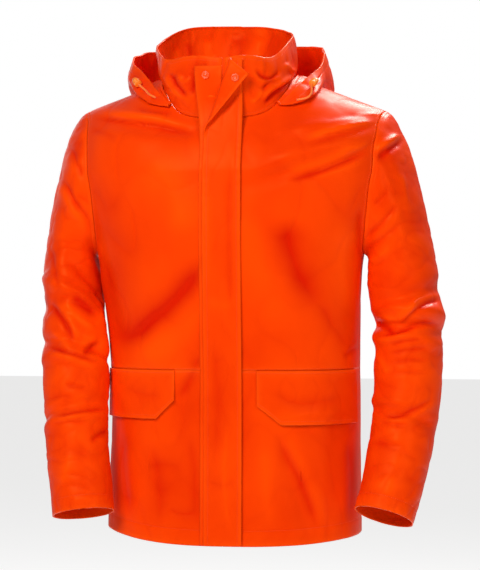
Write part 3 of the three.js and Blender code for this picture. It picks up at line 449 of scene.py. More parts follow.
# Creases on the fronts and sleeves: half-widths and lines in the picture's pixels, depths in
# millimetres
SEEN_CREASES = creases(
    (2.8, -4.1, -0.5, (90, 118), (119, 121), (152, 125), (180, 131), (200, 134)),
    (3.2, 2.2, 0, (106, 115), (140, 116), (176, 120)),
    (3.2, -1.5, 0, (90, 129), (104, 133), (118, 140)),
    (2.6, -2.2, 0, (134, 108), (152, 111), (174, 113)),
    (11, -6.0, -0.4, (206, 256), (180, 294), (142, 328), (110, 350)),
    (16, 2.2, 0, (146, 150), (170, 190), (186, 240)),
    (4, -2.7, 0, (88, 205), (92, 224), (97, 250)),
    (9, -2.2, 0, (104, 250), (112, 300), (124, 352)),
    (2.6, 3.5, 0.3, (304, 138), (342, 127), (380, 121)),
    (1.8, 2.2, 0, (352, 115), (370, 114), (386, 116)),
    (2.0, -1.2, 0, (324, 101), (346, 98), (368, 104)),
    (3.6, -4.6, -0.5, (286, 181), (328, 168), (356, 156), (371, 149)),
    (2.4, 2.0, 0, (340, 152), (356, 148), (372, 141)),
    (2.4, 3.8, 0, (370, 150), (386, 142), (402, 133)),
    (2.6, -2.4, 0, (376, 155), (392, 147), (406, 138)),
    (15, -4.6, 0.3, (288, 214), (288, 240), (300, 276), (322, 310)),
    (12, 2.2, 0, (352, 215), (344, 260), (350, 320)),
    (7, -1.9, 0, (320, 300), (336, 330), (356, 352)),
    (2.6, -2.2, 0, (342, 358), (352, 352), (361, 345)),
    (5, -3.2, 0, (200, 352), (190, 378), (178, 402)),
    (4.6, -3.2, -0.3, (276, 430), (287, 459), (299, 480), (320, 534)),
    (8, 1.6, 0, (262, 440), (266, 480), (270, 532)),
    (6, -2.3, 0, (348, 432), (352, 480), (350, 534)),
    (8, -2.2, 0, (150, 440), (158, 480), (160, 534)),
    (6, -1.9, 0, (122, 424), (124, 470), (130, 522)),
    (5, -2.2, 0, (188, 430), (194, 470), (196, 534)),
    (4, -1.6, 0, (166, 508), (182, 514), (198, 512)),
    (6, -1.4, 0, (142, 470), (164, 464), (186, 472)),
    (2.6, 2.6, 0.4, (300, 140), (332, 131), (370, 121)),
    (2.4, -2.0, 0, (318, 121), (348, 116), (378, 113)),
    (2.8, 1.8, 0, (312, 179), (345, 168), (370, 157)),
    (4, -3.0, 0, (362, 206), (361, 236), (361, 262)),
)

SLEEVE_CREASES_SEEN = creases(
    (2.4, 3.9, 0, (370, 150), (386, 142), (402, 133)),
    (2.6, -2.5, 0, (376, 155), (392, 147), (406, 138)),
    (2.6, -2.1, 0.4, (71, 146), (76, 162), (84, 180)),
    (3, -4.2, 0.5, (61, 176), (74, 201), (90, 222), (96, 234)),
    (2, -2.0, 0, (75, 195), (82, 198), (91, 204)),
    (2, 1.7, 0, (78, 208), (84, 216), (92, 225)),
    (2.6, -2.5, 0, (51, 246), (54, 268), (59, 292)),
    (2.8, -5.0, -0.5, (49, 303), (58, 313), (66, 324), (74, 345)),
    (5, -4.8, 0, (70, 296), (86, 306), (100, 317)),
    (3.6, 5.0, 0, (62, 299), (78, 317), (99, 331)),
    (3, -4.2, -0.4, (82, 354), (92, 347), (103, 341)),
    (2.6, -4.2, 0.5, (44, 346), (62, 350), (84, 357), (103, 364)),
    (3, 2.5, 0, (50, 330), (60, 338), (72, 350)),
    (2.6, -2.2, 0, (62, 384), (76, 386), (90, 388)),
    (3, -1.4, 0, (46, 400), (60, 396), (76, 398)),
    (2.3, -3.4, 0.5, (50, 417), (78, 411), (112, 408)),
    (2, -2.2, 0, (50, 424), (70, 422), (90, 422)),
    (3, -4.2, 0, (90, 442), (101, 434), (112, 429)),
    (5, -1.7, 0, (56, 458), (72, 452), (90, 456)),
    (6, 1.7, 0, (58, 490), (66, 470), (70, 446)),
    (3, -2.8, 0.4, (360, 242), (378, 226), (400, 203)),
    (3, -2.2, 0, (360, 254), (382, 238), (404, 222)),
    (3, 1.8, 0, (364, 262), (376, 258), (392, 246)),
    (2.4, -1.7, 0, (372, 206), (381, 198), (390, 190)),
    (2.6, 1.4, 0, (402, 172), (405, 188), (408, 204)),
    (3.2, 4.8, 0, (376, 314), (393, 319), (407, 315), (420, 294)),
    (2.4, -4.5, -0.5, (398, 327), (414, 311), (429, 302), (446, 299)),
    (3, -4.8, 0, (372, 323), (385, 326), (394, 333)),
    (2.4, -4.2, 0.5, (370, 338), (399, 331), (423, 324), (444, 327)),
    (2, -2.7, 0, (386, 346), (408, 341), (428, 338)),
    (1.9, -2.4, 0, (386, 354), (408, 350), (430, 349)),
    (1.9, -2.1, 0, (388, 363), (410, 360), (432, 360)),
    (2, -1.7, 0, (392, 374), (412, 372), (430, 374)),
    (3, 2.0, 0, (372, 350), (380, 360), (388, 378)),
    (2.3, -3.6, 0.5, (380, 416), (401, 415), (420, 407), (436, 397)),
    (2, -2.4, 0, (378, 421), (393, 424), (408, 425)),
    (4, -1.7, 0, (372, 438), (388, 446), (404, 448)),
    (5, -1.5, 0, (374, 480), (388, 472), (404, 476)),
    (6, 1.5, 0, (384, 500), (392, 480), (400, 452)),
    (2.4, 2.8, 0.3, (373, 153), (386, 145), (402, 134)),
    (3, -2.4, 0, (374, 160), (388, 152), (403, 142)),
    (7, 5.5, 0, (101, 292), (104, 325), (107, 368)),
)

# Creases that the picture does not show, on the back, as x and z in millimetres
BACK_CREASES = creases(
    (6, -3.4, 0.4, (-228, -140), (-170, -150), (-110, -180)),
    (7, -3.6, -0.4, (232, -150), (176, -166), (120, -200)),
    (6, -2.9, 0.4, (-214, -230), (-160, -250), (-120, -292)),
    (6, -3.1, -0.4, (214, -240), (150, -262), (112, -310)),
    (9, -2.3, 0.4, (-80, -420), (-20, -436), (60, -424)),
    (7, -2.0, 0, (-120, -470), (-60, -486), (-10, -478)),
    (8, -2.1, -0.3, (30, -500), (86, -512), (140, -498)),
    (11, -3.1, 0, (-40, -560), (-46, -640), (-34, -744)),
    (9, -2.9, 0, (44, -600), (50, -670), (40, -746)),
    (8, -2.6, 0, (-130, -610), (-126, -680), (-118, -742)),
    (9, 2.3, 0, (126, -620), (120, -680), (118, -742)),
    (12, -2.1, 0, (-60, -250), (0, -268), (66, -246)),
)

# Creases on the backs of the sleeves, as x and z in millimetres
SLEEVE_BACK_CREASES = creases(
    (5, -4.4, 0.5, (-226, -372), (-262, -388), (-300, -380)),
    (5, -3.9, 0.5, (-222, -408), (-258, -420), (-302, -412)),
    (6, -3.1, 0, (-224, -340), (-256, -346), (-296, -330)),
    (5, -2.9, 0, (-210, -460), (-246, -470), (-284, -456)),
    (6, -2.3, 0, (-200, -560), (-236, -566), (-272, -552)),
    (5, -4.4, -0.5, (236, -368), (276, -384), (322, -372)),
    (5, -3.6, -0.5, (238, -404), (284, -414), (330, -400)),
    (6, -3.1, 0, (240, -444), (284, -456), (328, -450)),
    (6, -2.3, 0, (230, -556), (266, -562), (310, -548)),
    (8, -3.1, 0, (226, -250), (270, -236), (306, -200)),
    (8, -3.1, 0, (-222, -250), (-262, -240), (-296, -210)),
)
CREASE_TABLES = (SEEN_CREASES, SLEEVE_CREASES_SEEN, BACK_CREASES, SLEEVE_BACK_CREASES)
print("creases placed:", sum(len(rows) for rows in CREASE_TABLES))


# %% Facing, crumples and the creases of a piece
BACKWARD = np.array([0.0, 1.0, 0.0])


def creased(points, normals, seen_rows=(), back_rows=(), inside_rows=()):
    facing = -(normals @ AHEAD)
    out = crease_height(seen(points), seen_rows) * smoothstep(facing, 0.0, 0.3)
    out += crease_height(seen(points), inside_rows) * smoothstep(-facing, 0.0, 0.3)
    out += crease_height(points[..., [0, 2]], back_rows) * smoothstep(normals @ BACKWARD, 0.0, 0.3)
    return out


def crumpled(points, size, amount, stretch=(1, 1, 1)):
    """Small unevenness of the cloth and a few sharp lines in it, the same on each run."""
    flat = (points * np.asarray(stretch)).reshape(-1, 3)
    large = np.array([noise.noise(Vector(p)) for p in flat / size])
    small = np.array([noise.noise(Vector(p)) for p in flat / (size * 0.36) + 40])
    lines = np.array([noise.noise(Vector(p)) for p in flat / (size * 0.8) + 90])
    sharp = np.exp(-np.abs(lines) * 9)
    return ((large + 0.35 * small - 0.6 * sharp) * amount).reshape(points.shape[:-1])


# %% [markdown]
# ## From a form to a piece of cloth
# Each piece starts as a flat grid, as the cut cloth would lie on the table. The grid is laid on
# its form, pressed by the creases and pulled in at its seams. Sewn edges dip towards the seam and
# pucker a little between the stitches, and open edges are folded over, so they are thicker.

# %% The cloth builder
CLOTHS = {}
HEM_LAYERS = 2.1


def grid_normals(points, closed):
    if closed:
        wrapped = np.concatenate([points[:, -2:-1], points, points[:, 1:2]], 1)
        du = (wrapped[:, 2:] - wrapped[:, :-2]) / 2
    else:
        du = np.gradient(points, axis=1)
    return unit(np.cross(du, np.gradient(points, axis=0)))


def edge_distances(points):
    """Millimetres along the cloth from each grid point to the four edges."""
    steps_u = np.linalg.norm(np.diff(points, axis=1), axis=-1)
    steps_v = np.linalg.norm(np.diff(points, axis=0), axis=-1)
    left = np.concatenate([np.zeros((points.shape[0], 1)), np.cumsum(steps_u, 1)], 1)
    low = np.concatenate([np.zeros((1, points.shape[1])), np.cumsum(steps_v, 0)], 0)
    return {"left": left, "right": left[:, -1:] - left, "bottom": low, "top": low[-1:] - low}


def seam_height(away, along, kind):
    """The dip at a seam or a folded edge and the puckers along its stitches."""
    if kind == "sewn":
        ripple = np.sin(along / 2.3 + 1.7 * np.sin(along / 17)) * (0.6 + 0.4 * np.sin(along / 29))
        pucker = 0.22 * ripple * np.exp(-(((away - 3) / 5) ** 2))
        return -0.28 * np.exp(-((away / 1.4) ** 2)) - 0.4 * np.exp(-(((away - 6.5) / 1.2) ** 2)) + pucker
    if kind == "folded":
        ripple = np.sin(along / 2.6 + 1.3 * np.sin(along / 23)) * (0.6 + 0.4 * np.sin(along / 37))
        return 0.16 * ripple * np.exp(-(((away - 5) / 6) ** 2))
    return 0 * away


def cloth(name, surface, across, along, edges, closed=False, extra=None, wall=1.0, hem=None):
    """Makes one piece of cloth. surface takes u and v; edges says what each edge of the piece is."""
    bm = bmesh.new()
    bm.loops.layers.uv.new("cloth")
    bmesh.ops.create_grid(bm, x_segments=across, y_segments=along, size=0.5, calc_uvs=True)
    mesh = bpy.data.meshes.new(name)
    bm.to_mesh(mesh)
    bm.free()
    count = len(mesh.vertices)
    flat = np.empty(count * 3)
    mesh.vertices.foreach_get("co", flat)
    places = flat.reshape(-1, 3)[:, :2] + 0.5
    i = np.rint(places[:, 0] * across).astype(int)
    j = np.rint(places[:, 1] * along).astype(int)

    u, v = np.meshgrid(np.linspace(0, 1, across + 1), np.linspace(0, 1, along + 1))
    points = surface(u, v)
    normals = grid_normals(points, closed)
    far = edge_distances(points)
    lengths = {"left": far["bottom"], "right": far["bottom"], "bottom": far["left"], "top": far["left"]}
    fold = extra(points, normals, u, v) if extra else np.zeros(u.shape)
    calm = np.ones(u.shape)
    seams = np.zeros(u.shape)
    for edge, kind in edges.items():
        if kind == "sewn":
            calm *= smoothstep(far[edge], -2, 16)
        seams += seam_height(far[edge], lengths[edge], kind)
    points = points + normals * (fold * calm + seams)[..., None]
    if closed:
        points[:, -1] = points[:, 0]
    normals = grid_normals(points, closed)
    CLOTHS[name] = {"points": points, "normals": normals, "far": far}

    mesh.vertices.foreach_set("co", (points[j, i] * MM).reshape(-1))
    wide, tall = far["left"][:, -1].mean() * MM, far["bottom"][-1].mean() * MM
    uvs = np.empty(len(mesh.loops) * 2)
    mesh.uv_layers["cloth"].data.foreach_get("uv", uvs)
    mesh.uv_layers["cloth"].data.foreach_set("uv", (uvs.reshape(-1, 2) * (wide, tall)).reshape(-1))
    open_edge, seam_edge = np.zeros(u.shape), np.zeros(u.shape)
    for edge, kind in edges.items():
        if kind == "folded":
            open_edge = np.maximum(open_edge, 1 - smoothstep(far[edge], 1.5, 3.5))
        if kind in ("folded", "sewn"):
            seam_edge = np.maximum(seam_edge, np.exp(-far[edge] / 5))
    # The fold height goes onto the mesh, and the finish uses it to paint shade into the troughs and a lighter
    # tone onto the ridges
    for label, values in (("fold", fold), ("edge", seam_edge)):
        layer = mesh.attributes.new(label, "FLOAT", "POINT")
        layer.data.foreach_set("value", values[j, i].astype(np.float32))
    obj = bpy.data.objects.new(name, mesh)
    scene.collection.objects.link(obj)
    if closed:
        bm = bmesh.new()
        bm.from_mesh(mesh)
        bmesh.ops.remove_doubles(bm, verts=bm.verts, dist=1e-6)
        bm.to_mesh(mesh)
        bm.free()
    mesh.shade_smooth()
    weight = open_edge[j, i]
    if closed:
        grid = np.round((points[:, :-1] * MM).reshape(-1, 3), 7)
        by_place = dict(zip(map(tuple, grid), open_edge[:, :-1].reshape(-1)))
        coords = np.empty(len(mesh.vertices) * 3)
        mesh.vertices.foreach_get("co", coords)
        weight = [by_place.get(tuple(p), 0) for p in np.round(coords.reshape(-1, 3), 7)]
    folded = obj.vertex_groups.new(name="folded")
    full = hem or wall * HEM_LAYERS
    share = wall / full
    for k in range(len(mesh.vertices)):
        folded.add([k], float(share + (1 - share) * weight[k]), "REPLACE")
    thick = obj.modifiers.new("thickness", "SOLIDIFY")
    thick.thickness = full * MM
    thick.offset = -1
    thick.vertex_group = "folded"
    thick.use_rim = True
    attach(obj, "root")
    print(f"{name}: {across} x {along} cells, about {wide * 1000:.0f} x {tall * 1000:.0f} mm flat")
    return obj


def on_cloth(name, u, v, off=0.0):
    """Points and outward normals on a finished piece, read between its grid points."""
    points, normals = CLOTHS[name]["points"], CLOTHS[name]["normals"]
    rows, columns = points.shape[0] - 1, points.shape[1] - 1
    a = np.clip(np.asarray(u) * columns, 0, columns - 1e-6)
    b = np.clip(np.asarray(v) * rows, 0, rows - 1e-6)
    i, j = a.astype(int), b.astype(int)
    s, t = (a - i)[..., None], (b - j)[..., None]

    def read(values):
        low = values[j, i] * (1 - s) + values[j, i + 1] * s
        high = values[j + 1, i] * (1 - s) + values[j + 1, i + 1] * s
        return low * (1 - t) + high * t

    normal = unit(read(normals))
    return read(points) + normal * off, normal


# %% [markdown]
# ## The finish of the cloth
# The cloth is a plain weave with a smooth coating on its face. Two effects make it look real close
# up and are kept as node groups, because the cord and the plastic use them too: the weave or grain
# showing through as a fine height, and the unevenness that handling leaves, which breaks up the
# gloss. Painted shade makes the troughs of the creases a little darker and redder and a painted
# lighter tone lies on their ridges, while worn edges are a little paler.

# %% Shared node groups
def new_group(name, inputs, outputs):
    group = bpy.data.node_groups.new(name, "ShaderNodeTree")
    for label, kind, value in inputs:
        socket = group.interface.new_socket(name=label, in_out="INPUT", socket_type=kind)
        if value is not None:
            socket.default_value = value
    for label, kind in outputs:
        group.interface.new_socket(name=label, in_out="OUTPUT", socket_type=kind)
    start = group.nodes.new("NodeGroupInput")
    end = group.nodes.new("NodeGroupOutput")
    return group, group.nodes, group.links, start, end


def math_node(nodes, operation, value=None):
    node = nodes.new("ShaderNodeMath")
    node.operation = operation
    if value is not None:
        node.inputs[1].default_value = value
    return node


weave_group, nodes, links, start, end = new_group(
    "plain_weave",
    [
        ("Vector", "NodeSocketVector", None), ("Threads", "NodeSocketFloat", 1800.0),
        ("Depth", "NodeSocketFloat", 1.0),
    ],
    [("Height", "NodeSocketFloat")],
)
scaled = nodes.new("ShaderNodeVectorMath")
scaled.operation = "SCALE"
links.new(start.outputs["Vector"], scaled.inputs[0])
links.new(start.outputs["Threads"], scaled.inputs["Scale"])
split = nodes.new("ShaderNodeSeparateXYZ")
links.new(scaled.outputs[0], split.inputs[0])
waves = []
for axis in ("X", "Y"):
    wave = math_node(nodes, "SINE")
    links.new(split.outputs[axis], wave.inputs[0])
    waves.append(wave)
crossed = math_node(nodes, "MULTIPLY")
links.new(waves[0].outputs[0], crossed.inputs[0])
links.new(waves[1].outputs[0], crossed.inputs[1])
deep = math_node(nodes, "MULTIPLY")
links.new(crossed.outputs[0], deep.inputs[0])
links.new(start.outputs["Depth"], deep.inputs[1])
links.new(deep.outputs[0], end.inputs["Height"])

handling_group, nodes, links, start, end = new_group(
    "handling_marks",
    [
        ("Vector", "NodeSocketVector", None), ("Scale", "NodeSocketFloat", 9.0),
        ("Low", "NodeSocketFloat", 0.35), ("High", "NodeSocketFloat", 0.5),
    ],
    [("Roughness", "NodeSocketFloat"), ("Patches", "NodeSocketFloat"), ("Height", "NodeSocketFloat")],
)
broad = nodes.new("ShaderNodeTexNoise")
broad.inputs["Detail"].default_value = 4.0
links.new(start.outputs["Vector"], broad.inputs["Vector"])
links.new(start.outputs["Scale"], broad.inputs["Scale"])
fit = nodes.new("ShaderNodeMapRange")
fit.inputs["From Min"].default_value = 0.3
fit.inputs["From Max"].default_value = 0.7
links.new(broad.outputs["Fac"], fit.inputs["Value"])
links.new(start.outputs["Low"], fit.inputs["To Min"])
links.new(start.outputs["High"], fit.inputs["To Max"])
links.new(fit.outputs["Result"], end.inputs["Roughness"])
links.new(broad.outputs["Fac"], end.inputs["Patches"])
fine = nodes.new("ShaderNodeTexNoise")
fine.inputs["Detail"].default_value = 3.0
finer = math_node(nodes, "MULTIPLY", 14.0)
links.new(start.outputs["Scale"], finer.inputs[0])
links.new(start.outputs["Vector"], fine.inputs["Vector"])
links.new(finer.outputs[0], fine.inputs["Scale"])
links.new(fine.outputs["Fac"], end.inputs["Height"])
print("node groups:", weave_group.name, handling_group.name)


# %% Helpers for the finishes
def new_material(name):
    material = bpy.data.materials.new(name)
    material.use_nodes = True
    tree = material.node_tree
    return material, tree.nodes, tree.links, tree.nodes["Principled BSDF"]


def new_node(nodes, kind, **values):
    """Adds a shader node and sets its inputs by name, where _ stands for a space."""
    node = nodes.new("ShaderNode" + kind)
    for label, value in values.items():
        node.inputs[label.replace("_", " ")].default_value = value
    return node


def handled(nodes, links, shader, scale, low, high):
    """Lays the handling marks on a piece, where they set its roughness from low to high."""
    place = nodes.new("ShaderNodeTexCoord")
    marks = nodes.new("ShaderNodeGroup")
    marks.node_tree = handling_group
    for label, value in (("Scale", scale), ("Low", low), ("High", high)):
        marks.inputs[label].default_value = value
    links.new(place.outputs["Object"], marks.inputs["Vector"])
    links.new(marks.outputs["Roughness"], shader.inputs["Roughness"])
    return marks


def colour_mix(nodes, links, factor, first=None, second=None):
    mix = nodes.new("ShaderNodeMix")
    mix.data_type = "RGBA"
    for label, colour in (("A", first), ("B", second)):
        if colour:
            mix.inputs[label].default_value = (*colour, 1)
    links.new(factor, mix.inputs["Factor"])
    return mix


def moulded(name, colour, shade, scale=60.0, low=0.26, high=0.42, relief=0.2):
    """Plastic, braid or thread: two shades in patches and, where relief is given, a fine grain."""
    material, nodes, links, shader = new_material(name)
    marks = handled(nodes, links, shader, scale, low, high)
    tint = colour_mix(nodes, links, marks.outputs["Patches"], shade, colour)
    links.new(tint.outputs["Result"], shader.inputs["Base Color"])
    if relief:
        bump = new_node(nodes, "Bump", Strength=relief, Distance=0.0001)
        links.new(marks.outputs["Height"], bump.inputs["Height"])
        links.new(bump.outputs["Normal"], shader.inputs["Normal"])
    return material


# %% The coated cloth
COATING = {"threads": 6800.0, "scale": 7.0, "low": 0.33, "high": 0.47}
# Fold heights over which the colour runs from painted shade in the troughs to a painted lighter tone on the
# ridges
PAINTED_SHADE_RANGE = {"From_Min": -4.5, "From_Max": 2.5}
PATCH_RANGE = {"From_Min": 0.3, "From_Max": 0.7, "To_Min": -0.12, "To_Max": 0.12}


def coated_cloth(name, face, painted_fold_shade, worn):
    material, nodes, links, shader = new_material(name)
    flat = nodes.new("ShaderNodeUVMap")
    flat.uv_map = "cloth"
    weave = nodes.new("ShaderNodeGroup")
    weave.node_tree = weave_group
    weave.inputs["Threads"].default_value = COATING["threads"]
    links.new(flat.outputs["UV"], weave.inputs["Vector"])
    marks = handled(nodes, links, shader, COATING["scale"], COATING["low"], COATING["high"])

    # Painted shade and highlight: the fold height takes the colour from a darker, redder copy in the troughs
    # of the creases to the full colour on their ridges, shifted a little at random by the handling patches
    fold = nodes.new("ShaderNodeAttribute")
    fold.attribute_name = "fold"
    painted_shade_ramp = new_node(nodes, "MapRange", **PAINTED_SHADE_RANGE)
    links.new(fold.outputs["Fac"], painted_shade_ramp.inputs["Value"])
    patchy = new_node(nodes, "MapRange", **PATCH_RANGE)
    links.new(marks.outputs["Patches"], patchy.inputs["Value"])
    both = math_node(nodes, "ADD")
    links.new(painted_shade_ramp.outputs["Result"], both.inputs[0])
    links.new(patchy.outputs["Result"], both.inputs[1])
    tint = colour_mix(nodes, links, both.outputs[0], painted_fold_shade, face)
    edge = nodes.new("ShaderNodeAttribute")
    edge.attribute_name = "edge"
    rub = math_node(nodes, "MULTIPLY")
    links.new(edge.outputs["Fac"], rub.inputs[0])
    links.new(marks.outputs["Patches"], rub.inputs[1])
    rubbed = colour_mix(nodes, links, rub.outputs[0], second=worn)
    links.new(tint.outputs["Result"], rubbed.inputs["A"])
    links.new(rubbed.outputs["Result"], shader.inputs["Base Color"])

    weave_bump = new_node(nodes, "Bump", Strength=0.12, Distance=0.00005)
    links.new(weave.outputs["Height"], weave_bump.inputs["Height"])
    marks_bump = new_node(nodes, "Bump", Strength=0.25, Distance=0.0004)
    links.new(marks.outputs["Height"], marks_bump.inputs["Height"])
    links.new(weave_bump.outputs["Normal"], marks_bump.inputs["Normal"])
    links.new(marks_bump.outputs["Normal"], shader.inputs["Normal"])
    shader.inputs["IOR"].default_value = 1.42
    shader.inputs["Specular IOR Level"].default_value = 0.42
    shader.inputs["Specular Tint"].default_value = (1.0, 0.22, 0.03, 1)
    return material


# The darker, redder second colour is the painted shade of the crease troughs
SHELL = coated_cloth(
    "coated_cloth", face=(1.0, 0.064, 0.0004), painted_fold_shade=(0.66, 0.008, 0.0002), worn=(1.0, 0.09, 0.003))
print("cloth material:", SHELL.name)


def dress(obj, replaces):
    """Gives a piece of cloth its finish and hides the solid that it replaces."""
    obj.data.materials.clear()
    obj.data.materials.append(SHELL)
    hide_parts(replaces)


# %% [markdown]
# ## The panels of the body
# Two fronts cut at the waist, where the pocket flaps are set in, and one back. A panel is a patch
# of the body's form between four edges: hem or waist below, neck and shoulder above, the centre
# front and the side seam with the armhole at the sides.

# %% Edges of the panels
ARM_STEPS, SIDE_STEPS, NECK_STEPS, SHOULDER_STEPS, HEM_STEPS = 12, 5, 7, 8, 7
NECK_SHARE = NECK_STEPS / (NECK_STEPS + SHOULDER_STEPS)
NECK_COLUMNS_END = math.radians(31)
TOP_SETTLE = 4


def hem_z(turn):
    side = np.where(np.sin(turn) < 0, HEM_SIDE_Z["right"], HEM_SIDE_Z["left"])
    return lerp(side, HEM_FRONT_Z, np.cos(turn) ** 2)


def tabled(edge, samples=1400):
    """The same edge read from a fine table, because an armhole is slow to work out."""
    at = np.linspace(0, 1, samples)
    turn, rise = edge(at)
    return lambda v: (np.interp(v, at, turn), np.interp(v, at, rise))


def side_edge(side, front):
    share = SIDE_STEPS / (SIDE_STEPS + ARM_STEPS)

    def edge(v):
        turn, rise = armhole_at(side, math.pi * (1 - np.clip((v - share) / (1 - share), 0, 1)), front)
        straight = v <= share
        return np.where(straight, sign_of(side) * QUARTER, turn), np.where(
            straight, lerp(WAIST_Z, ARMHOLE["underZ"], v / share), rise)

    return tabled(edge)


def neck_station(share):
    return QUARTER * (1 - (1 - share) ** NECK["spacing"])


def shoulder_point(side, t, back=False):
    x = sign_of(side) * lerp(NECK[side] + SEAM, TIP_X, t)
    return cap_at(x, np.full_like(np.asarray(x, float), 1e-9 if back else -1e-9))


def front_top(side, u):
    neck = neck_at(side, neck_station(np.clip(u / NECK_SHARE, 0, 1)), SEAM)
    shoulder = shoulder_point(side, np.clip((u - NECK_SHARE) / (1 - NECK_SHARE), 0, 1))
    low = u <= NECK_SHARE
    return np.where(low, neck[0], shoulder[0]), np.where(low, neck[1], shoulder[1])


def front_turn(side, u):
    spread = NECK_COLUMNS_END / abs(float(shoulder_point(side, 0.0)[0]))
    near = front_top(side, u)[0] * spread
    far = sign_of(side) * lerp(NECK_COLUMNS_END, QUARTER, (u - NECK_SHARE) / (1 - NECK_SHARE))
    return np.where(u <= NECK_SHARE, near, far)


def patch(bottom, top, end, reach, start=None):
    def area(u, v):
        base, crown = bottom(u), top(u)
        turn = lerp(base[0], crown[0], v)
        rise = lerp(base[1], RIDGE, v) + (crown[1] - RIDGE) * v ** TOP_SETTLE
        ends = [(end, 1 - u, np.ones_like(u))]
        if start:
            ends.append((start, u, np.zeros_like(u)))
        shift_turn, shift_rise = 0, 0
        for edge, away, at in ends:
            pull = np.maximum(1 - away / reach, 0) ** 1.5
            edge_turn, edge_rise = edge(v)
            base_at, crown_at = bottom(at), top(at)
            straight_turn = lerp(base_at[0], crown_at[0], v)
            straight_rise = lerp(base_at[1], RIDGE, v) + (crown_at[1] - RIDGE) * v ** TOP_SETTLE
            shift_turn = shift_turn + pull * (edge_turn - straight_turn)
            shift_rise = shift_rise + pull * (edge_rise - straight_rise)
        return turn + shift_turn, rise + shift_rise

    return area


def settled(turn, rise, rounds=280):
    """Evens the grid out inside its edges, so that no cell is squeezed at the corner of the neck."""
    for values in (turn, rise):
        for _ in range(rounds):
            sides = values[1:-1, :-2] + values[1:-1, 2:] + values[:-2, 1:-1] + values[2:, 1:-1]
            values[1:-1, 1:-1] = sides / 4
    return turn, rise


# How long the panels run, in millimetres, where their edges are drawn in to leave the seams
RUN = {"frontAcross": 1600, "frontUp": 440, "skirtUp": 280, "backAcross": 4200, "backUp": 720}


def inset(t, length):
    return SEAM / length + t * (1 - 2 * SEAM / length)


def facing(side, surface):
    return surface if side == "left" else (lambda u, v: surface(1 - u, v))


# %% Fronts above the waist
def upper_front(side):
    area = patch(
        bottom=lambda u: (front_turn(side, u), np.full_like(u, WAIST_Z)),
        top=lambda u: front_top(side, u), end=side_edge(side, True), reach=1 - NECK_SHARE)
    return lambda u, v: coat_point(*settled(*area(inset(u, RUN["frontAcross"]), inset(v, RUN["frontUp"]))))


def body_extra(points, normals, u, v):
    return creased(points, normals, SEEN_CREASES, BACK_CREASES) + crumpled(points, 70, 1.1, (1, 1, 0.6))


for side in ("right", "left"):
    inner, outer = ("left", "right") if side == "left" else ("right", "left")
    piece = cloth(
        f"front_{side}_upper_cloth", facing(side, upper_front(side)), 108, 150,
        {inner: "plain", outer: "sewn", "bottom": "sewn", "top": "sewn"}, extra=body_extra)
    dress(piece, replaces=f"front_{side}_upper")


# %% Fronts below the waist
def lower_front(side):
    def surface(u, v):
        turn = front_turn(side, inset(u, RUN["frontAcross"]))
        return coat_point(turn, lerp(hem_z(turn), WAIST_Z, inset(v, RUN["skirtUp"])))
    return surface


HEM_LINE = 25.0


def turned_edge(past_line, ripple):
    """The groove of a hem's stitches and the puckers below it, from the distance past the line."""
    groove = -0.5 * np.exp(-((past_line / 1.6) ** 2))
    return groove + 0.3 * ripple * np.exp(-(((past_line + 7) / 6) ** 2))


def hem_welt(points):
    """The line of the hem's stitches, where a thumb's breadth of cloth is turned up inside."""
    turn = np.arctan2(points[..., 0] / 208, -points[..., 1] / 127)
    ripple = 0.5 + 0.5 * np.sin(points[..., 0] / 3.1 + 2 * np.sin(points[..., 0] / 21))
    return turned_edge(points[..., 2] - hem_z(turn) - HEM_LINE, ripple)


def skirt_extra(points, normals, u, v):
    return body_extra(points, normals, u, v) + hem_welt(points)


for side in ("right", "left"):
    inner, outer = ("left", "right") if side == "left" else ("right", "left")
    piece = cloth(
        f"front_{side}_lower_cloth", facing(side, lower_front(side)), 108, 96,
        {inner: "plain", outer: "sewn", "bottom": "folded", "top": "sewn"}, extra=skirt_extra)
    dress(piece, replaces=f"front_{side}_lower")


# %% The back
def back_panel():
    def around(side, place):
        return place[0] + (0 if side == "left" else 2 * math.pi), place[1]

    def top(u):
        half = 2 * np.minimum(u, 1 - u)
        tip = half < 1 - NECK_SHARE
        parts = []
        for side in ("left", "right"):
            along = np.clip(1 - half / (1 - NECK_SHARE), 0, 1)
            shoulder = around(side, shoulder_point(side, along, back=True))
            angle = lerp(QUARTER + 1e-6, math.pi, np.clip((half - 1 + NECK_SHARE) / NECK_SHARE, 0, 1))
            neck = around(side, neck_at(side, angle, SEAM))
            neck_turn = np.where(neck[0] < 0, neck[0] + 2 * math.pi, neck[0])
            parts.append((np.where(tip, shoulder[0], neck_turn), np.where(tip, shoulder[1], neck[1])))
        left = u < 0.5
        return np.where(left, parts[0][0], parts[1][0]), np.where(left, parts[0][1], parts[1][1])

    rows = HEM_STEPS + SIDE_STEPS + ARM_STEPS

    def edge(side):
        def side_of_back(v):
            row = v * rows
            low = HEM_STEPS + SIDE_STEPS
            angle = math.pi * (1 - np.clip((row - low) / ARM_STEPS, 0, 1))
            turn, rise = around(side, armhole_at(side, angle, False))
            skirt = lerp(HEM_SIDE_Z[side], WAIST_Z, row / HEM_STEPS)
            waist = lerp(WAIST_Z, ARMHOLE["underZ"], (row - HEM_STEPS) / SIDE_STEPS)
            straight = row <= low
            straight_turn = QUARTER if side == "left" else 3 * QUARTER
            return np.where(straight, straight_turn, turn), np.where(
                straight, np.where(row < HEM_STEPS, skirt, waist), rise)
        return tabled(side_of_back)

    def hem(u):
        half = math.pi - front_turn("left", 1 - 2 * np.minimum(u, 1 - u))
        turn = np.where(u < 0.5, half, 2 * math.pi - half)
        return turn, hem_z(turn)

    area = patch(bottom=hem, top=top, start=edge("left"), end=edge("right"), reach=(1 - NECK_SHARE) / 2)
    return lambda u, v: coat_point(*settled(*area(inset(u, RUN["backAcross"]), inset(v, RUN["backUp"]))))


